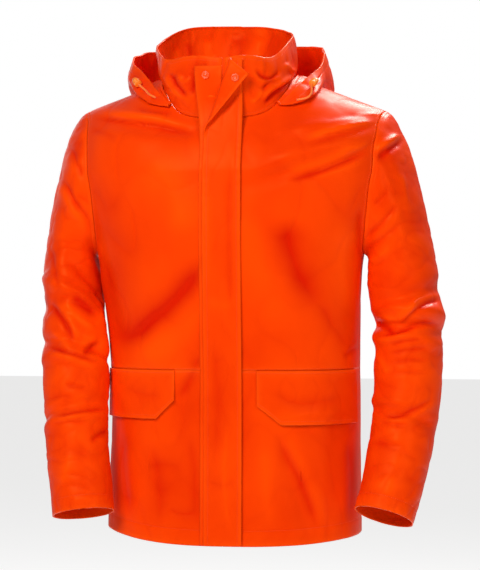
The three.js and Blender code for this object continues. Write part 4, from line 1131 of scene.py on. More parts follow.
back = cloth(
    "back_cloth", back_panel(), 170, 210,
    {"left": "sewn", "right": "sewn", "bottom": "folded", "top": "sewn"}, extra=skirt_extra)
dress(back, replaces="back")

# %% [markdown]
# ## The sleeves
# A set-in sleeve leaves the armhole along the shoulder's own slope and turns down the arm. The
# left one hangs at the side, the right one a little forward. Cloth bunches at the elbow, so most
# creases run round the sleeve there, and the cuff is a plain turned hem.

# %% Sizes of the sleeves
SLEEVE_RINGS = {
    "left": table(
        "z x y wide deep",
        (-697, 253, -90, 48.5, 46),
        (-650, 265, -71, 49.5, 48),
        (-590, 276, -49, 51.5, 51),
        (-530, 284, -30, 53.5, 54),
        (-470, 286, -15, 55, 57),
        (-410, 286, -4, 56, 60),
        (-365, 283, 2, 57, 64),
        (-322, 276, 6, 59, 68),
    ),
    "right": table(
        "z x y wide deep",
        (-697, -227, -123, 50.5, 46),
        (-650, -234, -110, 50.5, 48),
        (-590, -244, -95, 51, 50.5),
        (-530, -250, -78, 52.5, 53),
        (-470, -254, -60, 54.5, 57),
        (-410, -262, -37, 53, 63),
        (-365, -268.5, -16, 50, 70),
        (-322, -270.5, 2, 46, 78),
    ),
}
SLEEVE_FOLDS = {
    "left": table(
        "z turn reach drop width depth",
        (-352, 60, 120, 0.1, 13, -6),
        (-376, 80, 130, -0.12, 12, 7),
        (-402, 90, 130, -0.1, 10, -8),
        (-424, 100, 120, -0.1, 12, 5),
        (-545, 100, 110, -0.16, 9, -4),
        (-526, 150, 90, -0.1, 12, 4),
        (-390, 250, 80, 0.1, 14, -6),
        (-440, 240, 90, 0.12, 14, -5),
        (-230, 110, 60, -1.2, 12, -5),
    ),
    "right": table(
        "z turn reach drop width depth",
        (-352, 70, 110, 0.5, 13, 7),
        (-388, 60, 100, 0.35, 11, -6),
        (-330, 120, 80, 0.6, 12, -6),
        (-440, 90, 130, 0.22, 9, -6),
        (-462, 90, 120, 0.1, 12, 4),
        (-538, 90, 130, -0.14, 9, -5),
        (-556, 80, 120, -0.1, 10, 3),
        (-395, 250, 80, -0.1, 14, -6),
        (-450, 245, 80, -0.12, 14, -5),
    ),
}
SLEEVE_HEAD = {"left": {"leave": 128, "arrive": 200}, "right": {"leave": 146, "arrive": 150}}
SLEEVE_HEAD_SHARE = 0.5
SLEEVE_CAP_ROWS, SLEEVE_TUBE_ROWS = 9, 15


# %% The sleeves
def sleeve(side):
    sign = sign_of(side)
    rings = SLEEVE_RINGS[side]
    top_z, cuff_z = rings[-1]["z"], rings[0]["z"]

    def centre(z):
        return np.stack([column(rings, "x", "z", z), column(rings, "y", "z", z), z], -1)

    def frame_at(z):
        down = unit(centre(np.maximum(z - 4, cuff_z)) - centre(np.minimum(z + 4, top_z)))
        out = unit(np.array([sign, 0.0, 0.0]) - down * (down[..., :1] * sign))
        fore = np.cross(out, down) * sign
        return down, out, np.where(fore[..., 1:2] > 0, -fore, fore)

    def ring_point(turn, z):
        _, out, fore = frame_at(z)
        degrees = np.degrees(turn)
        swell = np.zeros(z.shape)
        for fold in SLEEVE_FOLDS[side]:
            around = (degrees - fold["turn"] + 540) % 360 - 180
            along = (z - fold["z"] + around * fold["drop"]) / fold["width"]
            reach = 1 - smoothstep(np.abs(around), fold["reach"] * 0.35, fold["reach"])
            swell += fold["depth"] * np.exp(-along * along) * reach
        swell *= (1 - smoothstep(z, top_z - 10, top_z + 60)) * smoothstep(z, cuff_z, cuff_z + 40)
        wide = (column(rings, "wide", "z", z) + swell) * np.cos(turn)
        deep = (column(rings, "deep", "z", z) + swell) * np.sin(turn)
        return centre(z) + out * wide[..., None] + fore * deep[..., None]

    angles = np.linspace(0, 2 * math.pi, 721)
    ahead = angles <= math.pi
    hole = coat_point(*armhole_at(side, np.where(ahead, angles, 2 * math.pi - angles), ahead))

    def armhole(turn):
        return np.stack([np.interp(turn, angles, hole[:, k]) for k in range(3)], -1)

    def surface(u, v):
        turn = (u % 1.0) * 2 * math.pi
        t = np.clip(v / SLEEVE_HEAD_SHARE, 0, 1)[..., None]
        down = np.clip((v - SLEEVE_HEAD_SHARE) / (1 - SLEEVE_HEAD_SHARE), 0, 1)
        tube = ring_point(turn, lerp(top_z, cuff_z, down))
        under = ((1 - np.cos(turn)) / 2)[..., None]
        strength = lerp(SLEEVE_HEAD[side]["leave"], 46, under)
        away = np.concatenate([
            sign * lerp(0.93, 0.95, under), -0.12 * np.sin(turn)[..., None], lerp(-0.37, -0.3, under),
        ], -1) * strength
        start = armhole(turn) + unit(away) * SEAM * 1.5
        arrive_down = frame_at(np.full(turn.shape, top_z - 6.0))[0]
        arrive = arrive_down * lerp(SLEEVE_HEAD[side]["arrive"], 40, under)
        finish = ring_point(turn, np.full(turn.shape, float(top_z)))
        head = start * (1 + 2 * t) * (1 - t) ** 2 + away * t * (1 - t) ** 2
        head = head + finish * t * t * (3 - 2 * t) + arrive * t * t * (t - 1)
        return np.where((v >= SLEEVE_HEAD_SHARE)[..., None], tube, head)

    rows = SLEEVE_CAP_ROWS + SLEEVE_TUBE_ROWS

    def upward(u, v):
        row = rows * (1 - v)
        cap = row / SLEEVE_CAP_ROWS * SLEEVE_HEAD_SHARE
        low = lerp(SLEEVE_HEAD_SHARE, 1, (row - SLEEVE_CAP_ROWS) / SLEEVE_TUBE_ROWS)
        return surface(1 - u if side == "left" else u, np.where(row < SLEEVE_CAP_ROWS, cap, low))

    return upward


CUFF_LINE = 22.0


def sleeve_extra(points, normals, u, v):
    out = creased(points, normals, SLEEVE_CREASES_SEEN, SLEEVE_BACK_CREASES)
    out += crumpled(points, 46, 1.5, (1, 1, 1.5))
    length = np.cumsum(np.linalg.norm(np.diff(points, axis=0, prepend=points[:1]), axis=-1), 0)
    ripple = 0.5 + 0.5 * np.sin(u * 150 + 2 * np.sin(u * 31))
    return out + turned_edge(length - CUFF_LINE, ripple)


for side in ("right", "left"):
    piece = cloth(
        f"sleeve_{side}_cloth", sleeve(side), 130, 220, {"bottom": "folded", "top": "sewn"},
        closed=True, extra=sleeve_extra)
    dress(piece, replaces=f"sleeve_{side}")

# %% [markdown]
# ## The collar
# The stand collar is a tall band that leans outward and stands open. Its top is folded over and
# its cloth buckles, because the band is longer than the neck seam lets it stand straight.

# %% Sizes of the collar
COLLAR = {
    "left": 96, "right": 129, "frontY": -119, "backY": 90, "square": 2.3, "frontZ": 32, "backZ": 108,
    "early": 0.6, "sag": {"left": 9, "right": 17}, "bulge": 6, "end": {"left": 5, "right": 3},
}
COLLAR_DIPS = table(
    "side turn wide deep",
    ("right", 46, 20, 14),
    ("right", 134, 28, -9),
    ("left", 46, 22, 17),
)
COLLAR_CREASES = creases(
    (2.4, -5.9, 0.4, (168, 72), (176, 86), (188, 99)),
    (2.1, -4.3, 0, (190, 97), (193, 84), (194, 72)),
    (2.1, 3.1, 0, (178, 74), (184, 82), (190, 76)),
    (2.4, 4.3, 0, (204, 98), (212, 96), (223, 99)),
    (2.2, -7.0, -0.5, (264, 107), (272, 96), (285, 87), (303, 76)),
    (1.8, -4.7, 0.4, (255, 68), (262, 76), (272, 78), (281, 69)),
    (1.9, -3.9, 0, (262, 92), (268, 84), (280, 80)),
    (2.4, 3.5, 0, (284, 62), (292, 70), (302, 72)),
    (2.4, 3.1, 0, (250, 104), (258, 98), (262, 88)),
)
COLLAR_INSIDE = creases(
    (4, 3.4, 0, (172, 44), (176, 60), (178, 84)),
    (4, -2.8, 0, (186, 40), (188, 56), (190, 72)),
    (5, 2.5, 0, (208, 36), (206, 52), (210, 66)),
    (5, -2.5, 0, (236, 34), (240, 48), (238, 62)),
    (5, 2.5, 0, (262, 36), (258, 48), (262, 60)),
)


# %% The collar
def collar_point(around, v):
    around, v = np.broadcast_arrays(np.asarray(around, float), np.asarray(v, float))
    angle = np.abs(around)
    right, left = coat_point(*neck_at("right", angle)), coat_point(*neck_at("left", angle))
    foot = np.where((around < 0)[..., None], right, left)
    power = 2 / COLLAR["square"]
    s, c = np.abs(np.sin(angle)), np.cos(angle)
    y = np.where(c > 0, COLLAR["frontY"], COLLAR["backY"]) * np.abs(c) ** power
    back = ((y - COLLAR["frontY"]) / (COLLAR["backY"] - COLLAR["frontY"])) ** COLLAR["early"]
    height = lerp(COLLAR["frontZ"], COLLAR["backZ"], back)
    sign = by_side(around, -1, 1)
    wide = by_side(around, COLLAR["right"], COLLAR["left"])
    sag = by_side(around, COLLAR["sag"]["right"], COLLAR["sag"]["left"])
    dip = sag * s * s
    for row in COLLAR_DIPS:
        here = sign == sign_of(row["side"])
        dip = dip + here * row["deep"] * np.exp(-(((np.degrees(angle) - row["turn"]) / row["wide"]) ** 2))
    rim = np.stack([sign * wide * s ** power, y, height - dip], -1)
    out = np.stack([sign * s, -c, np.zeros_like(s)], -1)
    return lerp(foot, rim, v[..., None]) + out * (COLLAR["bulge"] * 4 * v * (1 - v))[..., None]


def neck_angle(side, distance):
    return np.arcsin((np.asarray(distance) / NECK[side]) ** (NECK["frontSquare"] / 2))


def collar_surface(u, v):
    start = neck_angle("left", COLLAR["end"]["left"])
    stop = 2 * math.pi - neck_angle("right", COLLAR["end"]["right"])
    place = np.clip(4 * u, 0, 4)
    angle = np.where(place < 1, neck_station(np.clip(place, 0, 1)), place * QUARTER)
    angle = np.where(place > 3, 2 * math.pi - neck_station(np.clip(4 - place, 0, 1)), angle)
    angle = np.clip(angle, start, stop)
    return collar_point(np.where(angle > math.pi, angle - 2 * math.pi, angle), lerp(2 * SEAM / 88, 1, v))


def collar_extra(points, normals, u, v):
    out = creased(points, normals, COLLAR_CREASES, (), COLLAR_INSIDE)
    out += crumpled(points, 34, 2.2, (1, 1, 0.6))
    ripple = np.sin(u * 47 + 2.2 * np.sin(u * 13)) + 0.6 * np.sin(u * 83 + 1)
    return out + 1.4 * ripple * v * v * (0.4 + 0.6 * (1 - v))


collar = cloth(
    "collar_cloth", collar_surface, 230, 56,
    {"left": "folded", "right": "folded", "bottom": "sewn", "top": "folded"}, extra=collar_extra, hem=2.8)
dress(collar, replaces="collar")

# %% [markdown]
# ## The thrown-back hood
# The hood is sewn to the neck seam in two halves with a seam over the crown. Thrown back it hangs
# as an open bag: from the seam the cloth runs out and down, turns at the fullest part and comes up
# to the rim. Sections round the neck, each a curve through five points, give the form.

# %% Sizes of the hood
HOOD = table(
    "turn midOut midUp footOut footUp bellyOut bellyUp rimOut rimUp",
    (46, 3, 0, 5, 0, 6, 2, 5, 3),
    (53, 8, -3, 15, -8, 18, -5, 7, 6),
    (60, 12, -5, 25, -11, 31, -6, 10, 10),
    (72, 16, -6, 34, -11, 41, -5, 19, 17),
    (82, 20, -5, 41, -8, 50, -1, 35, 26),
    (90, 24, -5, 46, -9, 58, 4, 51, 32),
    (105, 30, -8, 56, -18, 74, 0, 60, 46),
    (125, 42, -18, 78, -64, 100, -24, 66, 61),
    (150, 50, -54, 76, -168, 114, -92, 68, 68),
    (180, 54, -84, 78, -212, 116, -118, 70, 66),
)
HOOD_REACH = table(
    "turn left right",
    (46, 1.3, 1.0),
    (66, 1.25, 1.0),
    (78, 1.0, 1.05),
    (90, 0.76, 1.1),
    (100, 0.72, 1.1),
    (175, 1.0, 1.0),
)
HOOD_LIFT = table(
    "turn left right",
    (46, -3, -3),
    (60, -6, -7),
    (72, -8, -7),
    (84, -14, -4),
    (94, -12, 0),
    (106, -1, 2),
    (180, 0, 0),
)
HOOD_LIFT_SHARE = {"mid": 0, "foot": 0.55, "belly": 0.65, "rim": 1}
HOOD_OFF_COLLAR = {"front": 3, "side": 5}
HOOD_START_UP = 2.6
HOOD_OFF_COAT = 6.8
HOOD_CENTRE_GAP = 0.12

# Creases of the bag: degrees round from the front and the share of the way up to the rim, which
# is counted as 200 so that both directions have about the same scale.
HOOD_CREASES = {
    "left": creases(
        (4, -2.6, 0.4, (60, 60), (78, 90), (92, 150)),
        (5, -3.1, 0.4, (74, 40), (90, 80), (112, 120)),
        (6, -3.1, -0.4, (100, 150), (128, 136), (160, 150)),
        (8, -4.2, 0.3, (120, 60), (140, 92), (176, 100)),
        (6, -2.3, 0, (130, 180), (150, 160), (172, 176)),
        (7, 2.6, 0, (140, 20), (150, 60), (170, 70)),
    ),
    "right": creases(
        (4, -2.6, 0.4, (58, 70), (76, 100), (88, 160)),
        (5, -3.1, 0.4, (76, 50), (94, 90), (116, 112)),
        (6, -3.4, -0.4, (104, 160), (126, 146), (156, 142)),
        (8, -3.9, 0.3, (122, 70), (146, 84), (176, 96)),
        (6, 2.3, 0, (126, 120), (150, 124), (174, 134)),
        (7, 2.6, 0, (142, 30), (156, 50), (172, 58)),
    ),
}


# %% The hood's form
def curve_through(stations, share):
    """A smooth curve through five stations, where share runs from the first to the last."""
    stations = np.stack(stations)
    last = len(stations) - 1
    first, final = 2 * stations[:1] - stations[1:2], 2 * stations[-1:] - stations[-2:-1]
    before = np.concatenate([first, stations, final])
    at = np.clip(share * last, 0, last - 1e-9)
    whole = at.astype(int)
    t = (at - whole)[..., None]

    def pick(offset):
        index = (whole + offset)[None, ..., None]
        return np.take_along_axis(before, np.broadcast_to(index, (1, *whole.shape, 3)), 0)[0]

    a, b, c, d = (pick(k) for k in range(4))
    steps = (b - a, c - b, d - c)
    gaps = [np.maximum(np.linalg.norm(step, axis=-1, keepdims=True) ** 0.5, 1e-4) for step in steps]
    first = ((b - a) / gaps[0] - (c - a) / (gaps[0] + gaps[1]) + (c - b) / gaps[1]) * gaps[1]
    second = ((c - b) / gaps[1] - (d - b) / (gaps[1] + gaps[2]) + (d - c) / gaps[2]) * gaps[1]
    cubic = 2 * b - 2 * c + first + second
    square = -3 * b + 3 * c - 2 * first - second
    return b + first * t + square * t * t + cubic * t ** 3


def off_coat(points, clear):
    """Moves points out until they clear the coat under them."""
    points = points.copy()
    for _ in range(6):
        front = points[..., 1] < 0
        over = coat_point(*cap_at(points[..., 0], points[..., 1]))
        beside = coat_point(*body_at(points[..., 0], points[..., 2], front))
        flip = np.where(front, -1, 1)
        up = over[..., 2] + clear - points[..., 2]
        back = flip * (beside[..., 1] - points[..., 1]) + clear
        inside = (up > 0) & (back > 0)
        up, back = np.where(inside, up, 1), np.where(inside, back, 1)
        share = inside / (1 / up ** 2 + 1 / back ** 2)
        points[..., 1] += flip * share / back
        points[..., 2] += share / up
    return points


def hood_point(side, degrees, v):
    sign = sign_of(side)
    degrees, v = np.broadcast_arrays(np.asarray(degrees, float), np.asarray(v, float))
    turn = np.radians(degrees)
    seam = coat_point(*neck_at(side, turn))
    out = np.stack([sign * np.sin(turn), -np.cos(turn), np.zeros_like(turn)], -1)
    reach = column(HOOD_REACH, side, "turn", degrees)
    off = lerp(HOOD_OFF_COLLAR["front"], HOOD_OFF_COLLAR["side"], smoothstep(degrees, HOOD[0]["turn"], 75))
    lift = column(HOOD_LIFT, side, "turn", degrees)
    stations = [seam + out * off[..., None] + np.array([0, 0, HOOD_START_UP])]
    for key in ("mid", "foot", "belly", "rim"):
        up = column(HOOD, key + "Up", "turn", degrees) + lift * HOOD_LIFT_SHARE[key]
        away = np.maximum(column(HOOD, key + "Out", "turn", degrees) * reach, 0) + off
        stations.append(seam + out * away[..., None] + up[..., None] * np.array([0, 0, 1]))
    return off_coat(curve_through(stations, v), lerp(HOOD_START_UP, HOOD_OFF_COAT, np.minimum(v * 8, 1)))


def hood_turn(t):
    return lerp(HOOD[0]["turn"], 180 - HOOD_CENTRE_GAP, t)


# %% The hood's two halves
for side in ("right", "left"):
    def hood_surface(u, v, side=side):
        return hood_point(side, hood_turn(u if side == "left" else 1 - u), v)

    def hood_extra(points, normals, u, v, side=side):
        degrees = hood_turn(u if side == "left" else 1 - u)
        out = crease_height(np.stack([degrees, v * 200], -1), HOOD_CREASES[side])
        out += crumpled(points, 44, 1.6)
        ripple = np.sin(degrees / 4.6 + 1.5 * np.sin(degrees / 9)) + 0.5 * np.sin(degrees / 2.3)
        out += 1.0 * ripple * smoothstep(v, 0.7, 1.0) * smoothstep(degrees, 50, 80)
        channel = (1 - v) * 190
        return (out - 0.6 * np.exp(-(((channel - 20) / 1.8) ** 2))) * smoothstep(degrees, 46, 70)

    centre_edge, front_edge = ("right", "left") if side == "left" else ("left", "right")
    piece = cloth(
        f"hood_{side}_cloth", hood_surface, 120, 120,
        {centre_edge: "sewn", front_edge: "folded", "bottom": "sewn", "top": "folded"},
        extra=hood_extra, hem=2.6)
    dress(piece, replaces=f"hood_{side}")

# %% [markdown]
# ## The closure
# The strip with the snap studs is sewn under the wearer's right front, and the storm flap is sewn
# to the left front and lies over it. The flap's top corner is folded back over a sloping line, so
# its inner face shows with a snap socket on it.

# %% Sizes of the closure
STORM_FLAP = {
    "attachedX": 31, "freeX": -30, "topZ": 30, "out": 5, "roll": 4.5, "lift": 0.1,
    "foldX1": -30, "foldZ1": -105, "foldX2": 19,
}
SNAP_STRIP = {"attachedX": -36, "slant": 11, "freeX": -2, "topZ": 19, "out": 2.4}
BRIDGE = {"low": -125, "high": -25}


def front_point(x, z, out):
    """The surface that the closure lies on: the chest, a bridge over the neck seam, the collar."""
    x, z = np.broadcast_arrays(np.asarray(x, float), np.asarray(z, float))

    def on_chest(height):
        return coat_point(*body_at(x, height, np.ones(x.shape, bool)), out)

    def on_collar(height):
        angle = np.where(x < 0, neck_angle("right", np.abs(x)), neck_angle("left", np.abs(x)))
        right, left = coat_point(*neck_at("right", angle)), coat_point(*neck_at("left", angle))
        foot = np.where((x < 0)[..., None], right, left)
        share = (height - foot[..., 2]) / (COLLAR["frontZ"] - foot[..., 2])
        y = collar_point(angle * by_side(x, -1, 1), share)[..., 1] - out
        return np.stack([x, y, height], -1)

    low_z, high_z = np.full(x.shape, float(BRIDGE["low"])), np.full(x.shape, float(BRIDGE["high"]))
    share = np.clip((z - low_z) / (high_z - low_z), 0, 1)
    low, high = on_chest(low_z), on_collar(high_z)
    span = BRIDGE["high"] - BRIDGE["low"]
    low_slope = low[..., 1] - on_chest(low_z - 1)[..., 1]
    high_slope = on_collar(high_z + 1)[..., 1] - high[..., 1]
    y = lerp(low[..., 1], high[..., 1], share * share * (3 - 2 * share))
    y = y + low_slope * span * share * (1 - share) ** 2 - high_slope * span * (1 - share) * share * share
    settle = (low[..., 2] - low_z) * (1 - share) ** 2
    bridge = np.stack([lerp(low[..., 0], high[..., 0], share), y, z + settle], -1)
    at_chest, at_collar = (z <= BRIDGE["low"])[..., None], (z >= BRIDGE["high"])[..., None]
    upper = np.where(at_collar, on_collar(np.maximum(z, high_z)), bridge)
    return np.where(at_chest, on_chest(np.minimum(z, low_z)), upper)


def storm_flap_point(x, z):
    f = STORM_FLAP
    length = math.hypot(f["foldX2"] - f["foldX1"], f["topZ"] - f["foldZ1"])
    nx, nz = -(f["topZ"] - f["foldZ1"]) / length, (f["foldX2"] - f["foldX1"]) / length
    beyond = (x - f["foldX1"]) * nx + (z - f["foldZ1"]) * nz
    rolled = np.maximum(beyond, 0)
    half = math.pi * f["roll"]
    bent = np.minimum(rolled, half) / f["roll"]
    rest = np.maximum(rolled - half, 0)
    across = f["roll"] * np.sin(bent) - rest - rolled
    above = f["roll"] * (1 - np.cos(bent)) + rest * f["lift"]
    base = front_point(x + nx * across, z + nz * across, f["out"])
    base[..., 1] -= above
    return base


# %% The storm flap and the snap strip
FLAP_CREASES = creases(
    (5, 1.6, 0, (203, 170), (207, 230), (206, 290)),
    (4, -1.8, 0, (232, 150), (229, 230), (232, 330)),
    (6, -1.6, 0, (212, 330), (218, 400), (214, 470)),
    (4, 1.6, 0, (228, 420), (224, 480), (230, 540)),
    (4, -1.0, 0, (204, 480), (222, 486), (240, 480)),
    (6, 1.0, 0, (204, 300), (222, 306), (240, 300)),
    (2.4, -1.6, 0, (222, 116), (236, 96), (250, 78)),
)


def flap_extra(points, normals, u, v):
    out = creased(points, normals, FLAP_CREASES) + crumpled(points, 40, 0.7, (1, 1, 0.5))
    across = u * 61
    welt = -0.5 * np.exp(-(((across - 54) / 1.3) ** 2)) + 0.7 * np.exp(-(((across - 57.5) / 2.2) ** 2))
    return out + welt - 0.4 * np.exp(-(((across - 7) / 1.3) ** 2))


def flap_surface(u, v):
    z = lerp(HEM_FRONT_Z + 1, STORM_FLAP["topZ"], v)
    return storm_flap_point(lerp(STORM_FLAP["freeX"], STORM_FLAP["attachedX"], u), z)


def strip_surface(u, v):
    z = lerp(HEM_FRONT_Z + 1, SNAP_STRIP["topZ"], v)
    edge = SNAP_STRIP["attachedX"] - SNAP_STRIP["slant"] * smoothstep(z, BRIDGE["low"], SNAP_STRIP["topZ"])
    return front_point(lerp(edge, SNAP_STRIP["freeX"], u), z, SNAP_STRIP["out"])


flap = cloth(
    "storm_flap_cloth", flap_surface, 34, 420,
    {"left": "folded", "right": "sewn", "bottom": "folded", "top": "folded"},
    extra=flap_extra, wall=1.2, hem=2.2)
dress(flap, replaces="storm_flap")
strip = cloth(
    "snap_strip_cloth", strip_surface, 16, 300,
    {"left": "sewn", "right": "folded", "bottom": "folded", "top": "folded"},
    extra=lambda points, normals, u, v: crumpled(points, 40, 0.4), wall=1.0, hem=1.8)
dress(strip, replaces="snap_strip")

# %% [markdown]
# ## The pocket flaps
# A flap is a small lined piece caught in the waist seam. Its front end is cut on a slope and its
# lower edge stands off the coat a little.

# %% The pocket flaps
POCKETS = {
    "right": {"innerX": -78, "outerTurn": 79, "innerDrop": 48, "drop": 78, "slope": 0.15},
    "left": {"innerX": 54, "outerTurn": 79, "innerDrop": 56, "drop": 86, "slope": 0.15},
}
POCKET_WALL, POCKET_OUT, POCKET_LIFT = 1.5, 1.2, 3.0
POCKET_CREASES = creases(
    (5, -1.3, 0, (120, 384), (140, 394), (166, 396)),
    (6, -1.4, 0, (268, 390), (300, 404), (350, 396)),
    (5, 1.0, 0, (266, 420), (300, 416), (352, 410)),
)
for side in ("right", "left"):
    def pocket_surface(u, v, side=side):
        row = POCKETS[side]
        t = u if side == "left" else 1 - u
        slope = lerp(row["innerDrop"], row["drop"], t / row["slope"])
        fall = np.where(t < row["slope"], slope, row["drop"])
        start = float(body_at(row["innerX"], WAIST_Z, True)[0])
        turn = lerp(start, sign_of(side) * math.radians(row["outerTurn"]), t)
        out = POCKET_WALL + POCKET_OUT + POCKET_LIFT * (1 - v)
        return coat_point(turn, WAIST_Z - SEAM - fall * (1 - v), out)

    def pocket_extra(points, normals, u, v):
        out = creased(points, normals, POCKET_CREASES) + crumpled(points, 46, 0.8)
        return out * smoothstep(1 - v, 0, 0.2)

    piece = cloth(
        f"pocket_flap_{side}_cloth", pocket_surface, 96, 44,
        {"left": "folded", "right": "folded", "bottom": "folded", "top": "sewn"},
        extra=pocket_extra, wall=1.4, hem=2.2)
    dress(piece, replaces=f"pocket_flap_{side}")

# %% [markdown]
# ## The stitching
# Rows of lockstitch hold the coat together and flatten its edges. Each stitch is a small rounded
# bar of thread pressed into the cloth, three millimetres from one to the next. They are laid along
# lines on the finished pieces, so they follow every crease.

# %% Stitches along a line on the cloth
THREAD = moulded("sewing_thread", (1.0, 0.1, 0.004), (0.85, 0.04, 0.001), 300.0, 0.5, 0.75, relief=0)
STITCH = {"step": 3.4, "length": 2.5, "thick": 0.34, "flat": 0.7, "off": 0.12, "reach": 0.6}


def stitches(name, lines):
    """One object with all the stitches of the given lines: each has a cloth and its u and v."""
    half, thick = STITCH["length"] / 2, STITCH["thick"]
    shape = Matrix.Diagonal((half, thick, thick * STITCH["flat"], 1))
    bm = bmesh.new()
    total = 0
    for piece_name, u, v in lines:
        points, normals = on_cloth(piece_name, u, v, off=STITCH["off"])
        gaps = np.linalg.norm(np.diff(points, axis=0), axis=1)
        along = np.concatenate([[0], np.cumsum(gaps)])
        places = np.arange(STITCH["step"] / 2, along[-1], STITCH["step"])

        def at(values, where, along=along):
            return np.stack([np.interp(where, along, values[:, k]) for k in range(3)], -1)

        runs = unit(at(points, places + STITCH["reach"]) - at(points, places - STITCH["reach"]))
        for spot, run, rise in zip(at(points, places), runs, unit(at(normals, places))):
            side = np.cross(rise, run)
            turn = Matrix((Vector(run), Vector(side), Vector(rise))).transposed().to_4x4()
            place = Matrix.Translation(Vector(spot) * MM) @ turn @ Matrix.Scale(MM, 4)
            bmesh.ops.create_icosphere(bm, subdivisions=1, radius=1, matrix=place @ shape)
            total += 1
    mesh = bpy.data.meshes.new(name)
    bm.to_mesh(mesh)
    bm.free()
    mesh.shade_smooth()
    mesh.materials.append(THREAD)
    obj = bpy.data.objects.new(name, mesh)
    scene.collection.objects.link(obj)
    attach(obj, "root")
    print(f"{name}: {total} stitches")


def row_at(name, from_edge, away, samples=400):
    """A line parallel to an edge of a piece, at a distance in millimetres."""
    far = CLOTHS[name]["far"][from_edge]
    level = from_edge in ("bottom", "top")
    lines = far.T if level else far
    share = np.linspace(0, 1, lines.shape[1])
    if from_edge in ("top", "right"):
        lines, share = lines[:, ::-1], share[::-1]
    along = np.linspace(0.004, 0.996, samples)
    picked = (along * (len(lines) - 1)).astype(int)
    where = np.array([np.interp(away, lines[k], share) for k in picked])
    return (name, along, where) if level else (name, where, along)


# %% The rows of stitches
FRONTS = ("right", "left")
stitches("stitches_waist", [
    *(row_at(f"front_{side}_lower_cloth", "top", 3) for side in FRONTS),
    *(row_at(f"front_{side}_upper_cloth", "bottom", 3) for side in FRONTS),
])
stitches("stitches_hem", [
    *(row_at(f"front_{side}_lower_cloth", "bottom", HEM_LINE) for side in FRONTS),
    row_at("back_cloth", "bottom", HEM_LINE),
])
stitches("stitches_cuffs", [row_at(f"sleeve_{side}_cloth", "bottom", CUFF_LINE) for side in FRONTS])
stitches("stitches_armholes", [
    row_at("front_right_upper_cloth", "left", 5), row_at("front_left_upper_cloth", "right", 5),
])
stitches("stitches_shoulders", [row_at("back_cloth", "top", 5)])
stitches("stitches_flap", [row_at("storm_flap_cloth", edge, 7, 900) for edge in ("left", "right")])
stitches("stitches_pockets", [
    *(row_at(f"pocket_flap_{side}_cloth", "bottom", 6) for side in FRONTS),
    *(row_at(f"pocket_flap_{side}_cloth", "top", 4) for side in FRONTS),
])
stitches("stitches_collar", [row_at("collar_cloth", "top", 7), row_at("collar_cloth", "bottom", 5)])
stitches("stitches_hood", [row_at(f"hood_{side}_cloth", "top", 20) for side in FRONTS])

# %% [markdown]
# ## The draw cords and their locks
# The cord runs in the rim of the hood and comes out at each front end through a spring lock. Only
# a short end shows on each side. It is a braided cord, so its surface is a tube whose radius rises
# and falls where the strands cross.

# %% Hard plastic and the braid
PLASTIC = moulded("moulded_plastic", (1.0, 0.27, 0.016), (0.95, 0.21, 0.01))
SNAP_PLASTIC = moulded("moulded_snap", (1.0, 0.1, 0.003), (0.95, 0.06, 0.002))
BRAID = moulded("braided_cord", (1.0, 0.22, 0.01), (0.9, 0.15, 0.006))
BRAID.node_tree.nodes["Principled BSDF"].inputs["Sheen Weight"].default_value = 0.3

CORD = {"radius": 1.5, "sides": 24, "steps": 90, "braid": 0.16, "twist": 1.9}
CORD_PATHS = {
    "right": table(
        "turn share off",
        (68, 0.88, 2.1),
        (63, 0.88, 2),
        (58, 0.9, 2),
    ),
    "left": table(
        "turn share off",
        (65, 0.8, 2.1),
        (61, 0.76, 1.9),
        (56, 0.8, 1.9),
    ),
}
LOCK = {"body": 6.2, "length": 13, "button": 4.2, "buttonLength": 4.5}
LOCK_AT = {
    "right": {"turn": 76, "share": 0.87, "off": 6.1},
    "left": {"turn": 72.5, "share": 0.88, "off": 5.9},
}
TOUCH = 0.35


def hood_normal(side, degrees, v, step=0.01):
    along = hood_point(side, degrees + step, v) - hood_point(side, degrees - step, v)
    up = hood_point(side, degrees, v + step) - hood_point(side, degrees, v - step)
    return unit(np.cross(along, up)) * sign_of(side)


def plain_object(name, bm, material):
    mesh = bpy.data.meshes.new(name)
    bm.to_mesh(mesh)
    bm.free()
    mesh.shade_smooth()
    mesh.materials.append(material)
    obj = bpy.data.objects.new(name, mesh)
    scene.collection.objects.link(obj)
    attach(obj, "root")
    return obj


# %% The cord locks
def turned(bm, profile, steps):
    """Spins a closed profile of radius and height pairs round the z axis."""
    ring = [bm.verts.new((r * MM, 0, z * MM)) for r, z in profile]
    edges = [bm.edges.new(pair) for pair in zip(ring[:-1], ring[1:])]
    bmesh.ops.spin(
        bm, geom=ring + edges, cent=(0, 0, 0), axis=(0, 0, 1), angle=2 * math.pi, steps=steps, use_merge=True)
    bmesh.ops.remove_doubles(bm, verts=bm.verts, dist=1e-7)
    bmesh.ops.recalc_face_normals(bm, faces=bm.faces)


def standing(spot, axis):
    """Stands a turned part on a spot with its z axis along the given one."""
    turn = Vector((0, 0, 1)).rotation_difference(Vector(axis)).to_matrix().to_4x4()
    return Matrix.Translation(Vector(spot) * MM) @ turn


def lock_profile():
    b, l, r, h = LOCK["body"], LOCK["length"], LOCK["button"], LOCK["buttonLength"]
    return [
        (0, 0), (b - 1.6, 0), (b - 0.5, 0.35), (b, 1.2), (b, 3.0), (b - 0.7, 3.5), (b - 0.7, 4.1), (b, 4.6),
        (b, 6.0), (b - 0.7, 6.5), (b - 0.7, 7.1), (b, 7.6), (b, 9.4), (b - 0.6, 10.2), (b - 0.8, 12.2),
        (b - 1.6, l), (r + 0.3, l), (r, l + 0.3), (r, l + h - 1.3), (r - 0.5, l + h - 0.4), (r - 1.5, l + h), (0, l + h),
    ]


